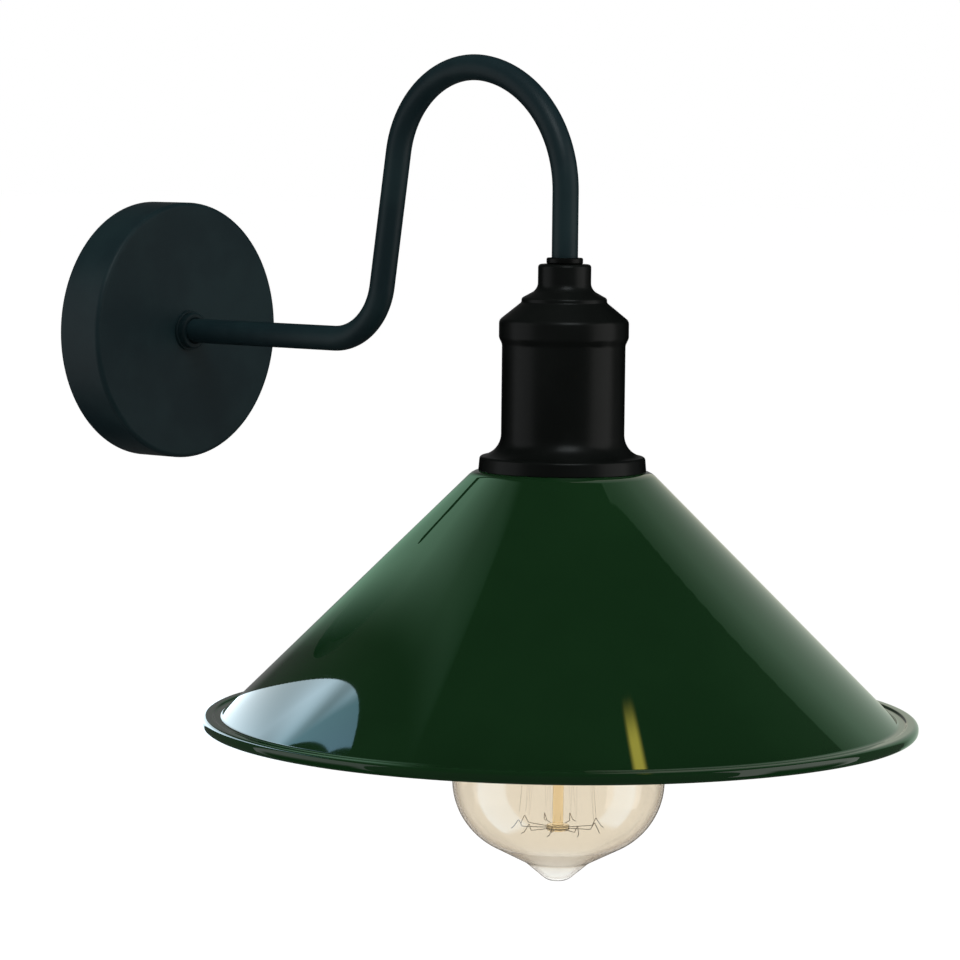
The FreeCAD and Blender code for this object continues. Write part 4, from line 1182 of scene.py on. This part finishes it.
@dataclass(frozen=True)
class Softbox:
    """A large soft lamp: where it stands as the picture sees it, its size and its brightness."""

    name: str
    aside: float
    up: float
    distance: float
    width: float
    height: float
    glow: float
    colour: Colour = (1.0, 1.0, 1.0)
    mirrored: bool = True
    lights: tuple[str, ...] = ()

    def build(self, viewpoint: Viewpoint, centre: Vector) -> None:
        """Makes the lamp, turned to face the sconce.

        Args:
            viewpoint: The camera that its direction is given by.
            centre: The place that it faces.
        """
        data = bpy.data.lights.new(self.name, "AREA")
        data.shape = "RECTANGLE"
        data.size = self.width
        data.size_y = self.height
        data.energy = self.glow * math.pi * self.width * self.height
        data.color = self.colour
        towards = viewpoint.towards(self.aside, self.up)
        lamp = bpy.data.objects.new(self.name, data)
        lamp.location = centre + towards * self.distance
        lamp.rotation_mode = "QUATERNION"
        lamp.rotation_quaternion = towards.to_track_quat("Z", "Y")
        lamp.visible_camera = False
        lamp.visible_glossy = self.mirrored
        aim_at(lamp, self.lights)
        bpy.context.scene.collection.objects.link(lamp)


@dataclass(frozen=True)
class Card:
    """A board of soft light near the sconce, which lights only its gloss.

    It stands at a distance from the middle of the sconce, in a direction that the picture sees, faces
    another direction and is spun about it. Its tones run along its height, and its edges are soft.
    """

    name: str
    aside: float
    up: float
    distance: float
    facing: tuple[float, float]
    spin: float
    width: float
    height: float
    glow: float
    tones: tuple[tuple[float, Colour], ...]
    lights: tuple[str, ...] = ("shade_cone",)
    soft: tuple[float, float] = (0.0, 0.0)
    one_sided: bool = False
    fold_width: float = 0.0
    fold_slant: float = 2.0
    fold_start: float = 0.63
    fold_depth: float = 0.25
    fold_fade: tuple[float, float] = (0.1, 0.4)

    def build(self, viewpoint: Viewpoint, centre: Vector) -> None:
        """Makes the board.

        Args:
            viewpoint: The camera that its directions are given by.
            centre: The place that its distance is measured from.
        """
        front = viewpoint.towards(*self.facing)
        level = Vector((0, 0, 1)).cross(front).normalized()
        rise = front.cross(level)
        turn = math.radians(self.spin)
        across = level * math.cos(turn) + rise * math.sin(turn)
        along = rise * math.cos(turn) - level * math.sin(turn)
        middle = centre + viewpoint.towards(self.aside, self.up) * self.distance
        place = Matrix((across * self.width, along * self.height, front)).transposed().to_4x4()
        place.translation = middle
        mesh = bmesh.new()
        bmesh.ops.create_grid(mesh, x_segments=1, y_segments=1, size=0.5, matrix=place)
        board = placed(self.name, mesh)
        board.data.materials.append(self.light(middle, across, along))
        for kind in ("camera", "diffuse", "transmission", "volume_scatter", "shadow"):
            setattr(board, "visible_" + kind, False)
        aim_at(board, self.lights)

    def light(self, middle: Vector, across: Vector, along: Vector) -> bpy.types.Material:
        """The board's light, which fades towards its soft edges.

        Args:
            middle: The middle of the board.
            across: The direction of its width.
            along: The direction of its height.

        Returns:
            The material.
        """
        material, net, shader = material_net(self.name + "_light")
        where = net.node("ShaderNodeTexCoord").outputs["Object"]
        aside = net.maths("SUBTRACT", net.along(where, across), middle.dot(across))
        rise = net.maths("SUBTRACT", net.along(where, along), middle.dot(along))
        shown = 1.0
        for out, size, soft in zip((aside, rise), (self.width, self.height), self.soft):
            if soft > 0:
                edge = net.ranged(net.maths("ABSOLUTE", out), size / 2 - soft, size / 2, 1.0, 0.0)
                shown = net.maths("MULTIPLY", shown, edge)
        if self.one_sided:
            back = net.node("ShaderNodeNewGeometry").outputs["Backfacing"]
            shown = net.maths("MULTIPLY", shown, net.maths("SUBTRACT", 1.0, back))
        ramp = net.node("ShaderNodeValToRGB")
        stops = ramp.color_ramp.elements
        while len(stops) < len(self.tones):
            stops.new(1.0)
        for stop, (position, tone) in zip(stops, self.tones):
            stop.position = position
            stop.color = (*tone, 1)
        share = net.maths("DIVIDE", net.maths("ADD", rise, self.height / 2), self.height)
        net.link(share, ramp.inputs["Fac"])
        net.fill(shader, {
            "Base Color": (0, 0, 0, 1), "Specular IOR Level": 0.0, "Alpha": shown,
            "Emission Color": ramp.outputs["Color"],
            "Emission Strength": self.folds(net, aside, rise) if self.fold_width > 0 else self.glow,
        })
        return material

    def folds(self, net: Net, aside: bpy.types.NodeSocket,
              rise: bpy.types.NodeSocket) -> bpy.types.NodeSocket:
        """The glow of a board that hangs in soft slanting folds.

        Args:
            net: The material's nodes.
            aside: How far a place lies from the middle, along the board's width.
            rise: How far it lies from the middle, along its height.

        Returns:
            The strength of the light.
        """
        place = net.maths("ADD", rise, self.fold_start)
        phase = net.maths("SUBTRACT", place, net.maths("MULTIPLY", aside, self.fold_slant))
        wave = net.maths("COSINE", net.maths("MULTIPLY", phase, FULL_TURN / self.fold_width))
        depth = net.ranged(place, *self.fold_fade, self.fold_depth, 0.0)
        swing = net.maths("ADD", 1.0, net.maths("MULTIPLY", wave, depth))
        return net.maths("MULTIPLY", self.glow, swing)


@dataclass
class Studio:
    """White surroundings, soft lamps and a pale floor."""

    centre: Point = (0.0, -0.17, -0.03)
    floor_height: float = -0.5
    floor_size: float = 60.0
    floor_tone: float = 0.80
    floor_glow: float = 0.62
    plain_level: float = 0.5
    softboxes: tuple[Softbox, ...] = (
        Softbox("left_window", -80, 0, 0.7, 0.62, 0.95, 0.8, (0.96, 0.98, 1.0)),
        Softbox("right_window", 74, 0, 0.7, 0.58, 0.95, 1.3, (1.0, 0.99, 0.97)),
        Softbox("top_fill", 0, 74, 1.2, 0.9, 0.9, 2.6, mirrored=False),
        Softbox(
            "paint_key", 14, 46, 1.0, 0.45, 0.45, 5.0, (0.90, 0.98, 1.0), lights=("arm", "cup", "canopy"),
        ),
    )
    cards: tuple[Card, ...] = (
        Card("right_card", 129.56, 40.73, 0.6321, (180, 17.4), 90, 1.59, 0.497, 0.66, (
            (0.0, (1.0, 1.0, 0.82)), (0.35, (0.84, 1.0, 0.84)), (0.75, (0.62, 0.92, 0.68)),
            (1.0, (0.25, 0.42, 0.28)),
        )),
        Card("left_card", -114.76, 40.3, 1.1467, (-234.3, 24.6), -29.4, 0.227, 2.4, 6.0, (
            (0.05, (0.36, 0.43, 0.47)), (0.16, (0.56, 0.74, 0.86)), (0.40, (0.18, 0.34, 0.43)),
            (1.0, (0.20, 0.36, 0.50)),
        ), fold_width=0.38),
        Card("sheen_card", -102.86, 49.93, 0.2179, (50.17, 0), 30.7, 0.16, 0.54, 1.12, (
            (0.0, (0.18, 0.33, 0.23)), (0.16, (0.31, 0.57, 0.40)), (0.32, (0.52, 0.95, 0.66)),
            (0.42, (0.42, 0.76, 0.53)), (0.60, (0.21, 0.38, 0.26)), (0.91, (0.10, 0.19, 0.13)),
            (1.0, (0.0, 0.0, 0.0)),
        ), soft=(0.055, 0.03), one_sided=True),
        Card("yellow_card", 52.62, 64.86, 0.955, (71, 73.6), -47, 0.070, 0.09, 6.0, (
            (0.0, (1.0, 0.87, 0.13)), (1.0, (1.0, 0.87, 0.13)),
        ), soft=(0.025, 0.03)),
        Card("left_pane", -69.11, -44.82, 0.4692, (-82, -28), 0, 0.34, 0.50, 3.6, (
            (0.0, (0.50, 0.76, 1.0)), (1.0, (0.50, 0.76, 1.0)),
        ), ("glass_envelope",), (0.05, 0.08)),
        Card("right_pane", 69.42, -35.84, 0.5052, (80, -28), 0, 0.27, 0.42, 3.6, (
            (0.0, (0.50, 0.76, 1.0)), (1.0, (0.50, 0.76, 1.0)),
        ), ("glass_envelope",), (0.05, 0.08)),
    )

    def build(self, viewpoint: Viewpoint) -> None:
        """Makes the floor, the lamps and the surroundings.

        Args:
            viewpoint: The photograph's camera.
        """
        bpy.context.scene.view_settings.view_transform = "Standard"
        for light in self.softboxes + self.cards:
            light.build(viewpoint, Vector(self.centre))
        self.lay_floor()
        self.paint_surroundings(viewpoint)

    def lay_floor(self) -> None:
        """A pale floor, far below, that keeps the shadow and is see-through from under it."""
        mesh = bmesh.new()
        bmesh.ops.create_grid(mesh, x_segments=1, y_segments=1, size=self.floor_size / 2)
        bmesh.ops.translate(mesh, verts=mesh.verts, vec=(0, 0, self.floor_height))
        floor = placed("floor", mesh)
        material, net, shader = material_net("pale_floor")
        seen = net.node("ShaderNodeLightPath")
        shown = net.maths("MAXIMUM", seen.outputs["Is Camera Ray"], seen.outputs["Is Transmission Ray"])
        below = net.node("ShaderNodeNewGeometry").outputs["Backfacing"]
        net.fill(shader, {
            "Base Color": (*(self.floor_tone,) * 3, 1), "Roughness": 0.9, "Specular IOR Level": 0.1,
            "Emission Color": (1, 1, 1, 1), "Alpha": net.maths("SUBTRACT", 1.0, below),
            "Emission Strength": net.maths("MULTIPLY", shown, self.floor_glow),
        })
        floor.data.materials.append(material)
        floor.visible_glossy = False

    def paint_surroundings(self, viewpoint: Viewpoint) -> None:
        """White all round to the eye, a soft room to gloss and glass, and a plain level of light.

        Args:
            viewpoint: The camera that the room's sides are given by.
        """
        world = bpy.data.worlds.new("surroundings")
        world.use_nodes = True
        bpy.context.scene.world = world
        net = Net(world.node_tree)
        background = world.node_tree.nodes["Background"]
        direction = net.node("ShaderNodeTexCoord").outputs["Generated"]
        seen = net.node("ShaderNodeLightPath")
        behind = net.along(direction, viewpoint.towards(180, 0))
        up = net.along(direction, Vector((0, 0, 1)))
        skyline = net.ranged(behind, 0.93, 0.985, 0.0, 0.12)
        room = net.maths("ADD", net.ranged(up, 0.2, 0.9, 0.07, 0.02), skyline)
        clear = net.ranged(behind, 0.5, 0.96, 0.02, 1.0)
        level = 0.0
        for ray, light in (("Glossy", room), ("Transmission", clear), ("Diffuse", self.plain_level)):
            share = net.maths("MULTIPLY", seen.outputs[f"Is {ray} Ray"], light)
            level = net.maths("ADD", level, share)
        level = net.maths("MAXIMUM", level, seen.outputs["Is Camera Ray"])
        background.inputs["Color"].default_value = (1, 1, 1, 1)
        net.link(level, background.inputs["Strength"])


def main() -> None:
    """Builds the sconce and its studio, and reports each piece."""
    logging.basicConfig(level=logging.INFO, format="%(message)s")
    viewpoint = Viewpoint()
    viewpoint.build()
    layout = Layout.from_frame()
    dresser = Dresser(layout)
    for assembly in (ArmRoot(), Gooseneck(), Cup(), Shade(), Bulb()):
        assembly.build(layout, dresser)
    dresser.dress_nodes()
    Studio().build(viewpoint)


if __name__ == "__main__":
    main()
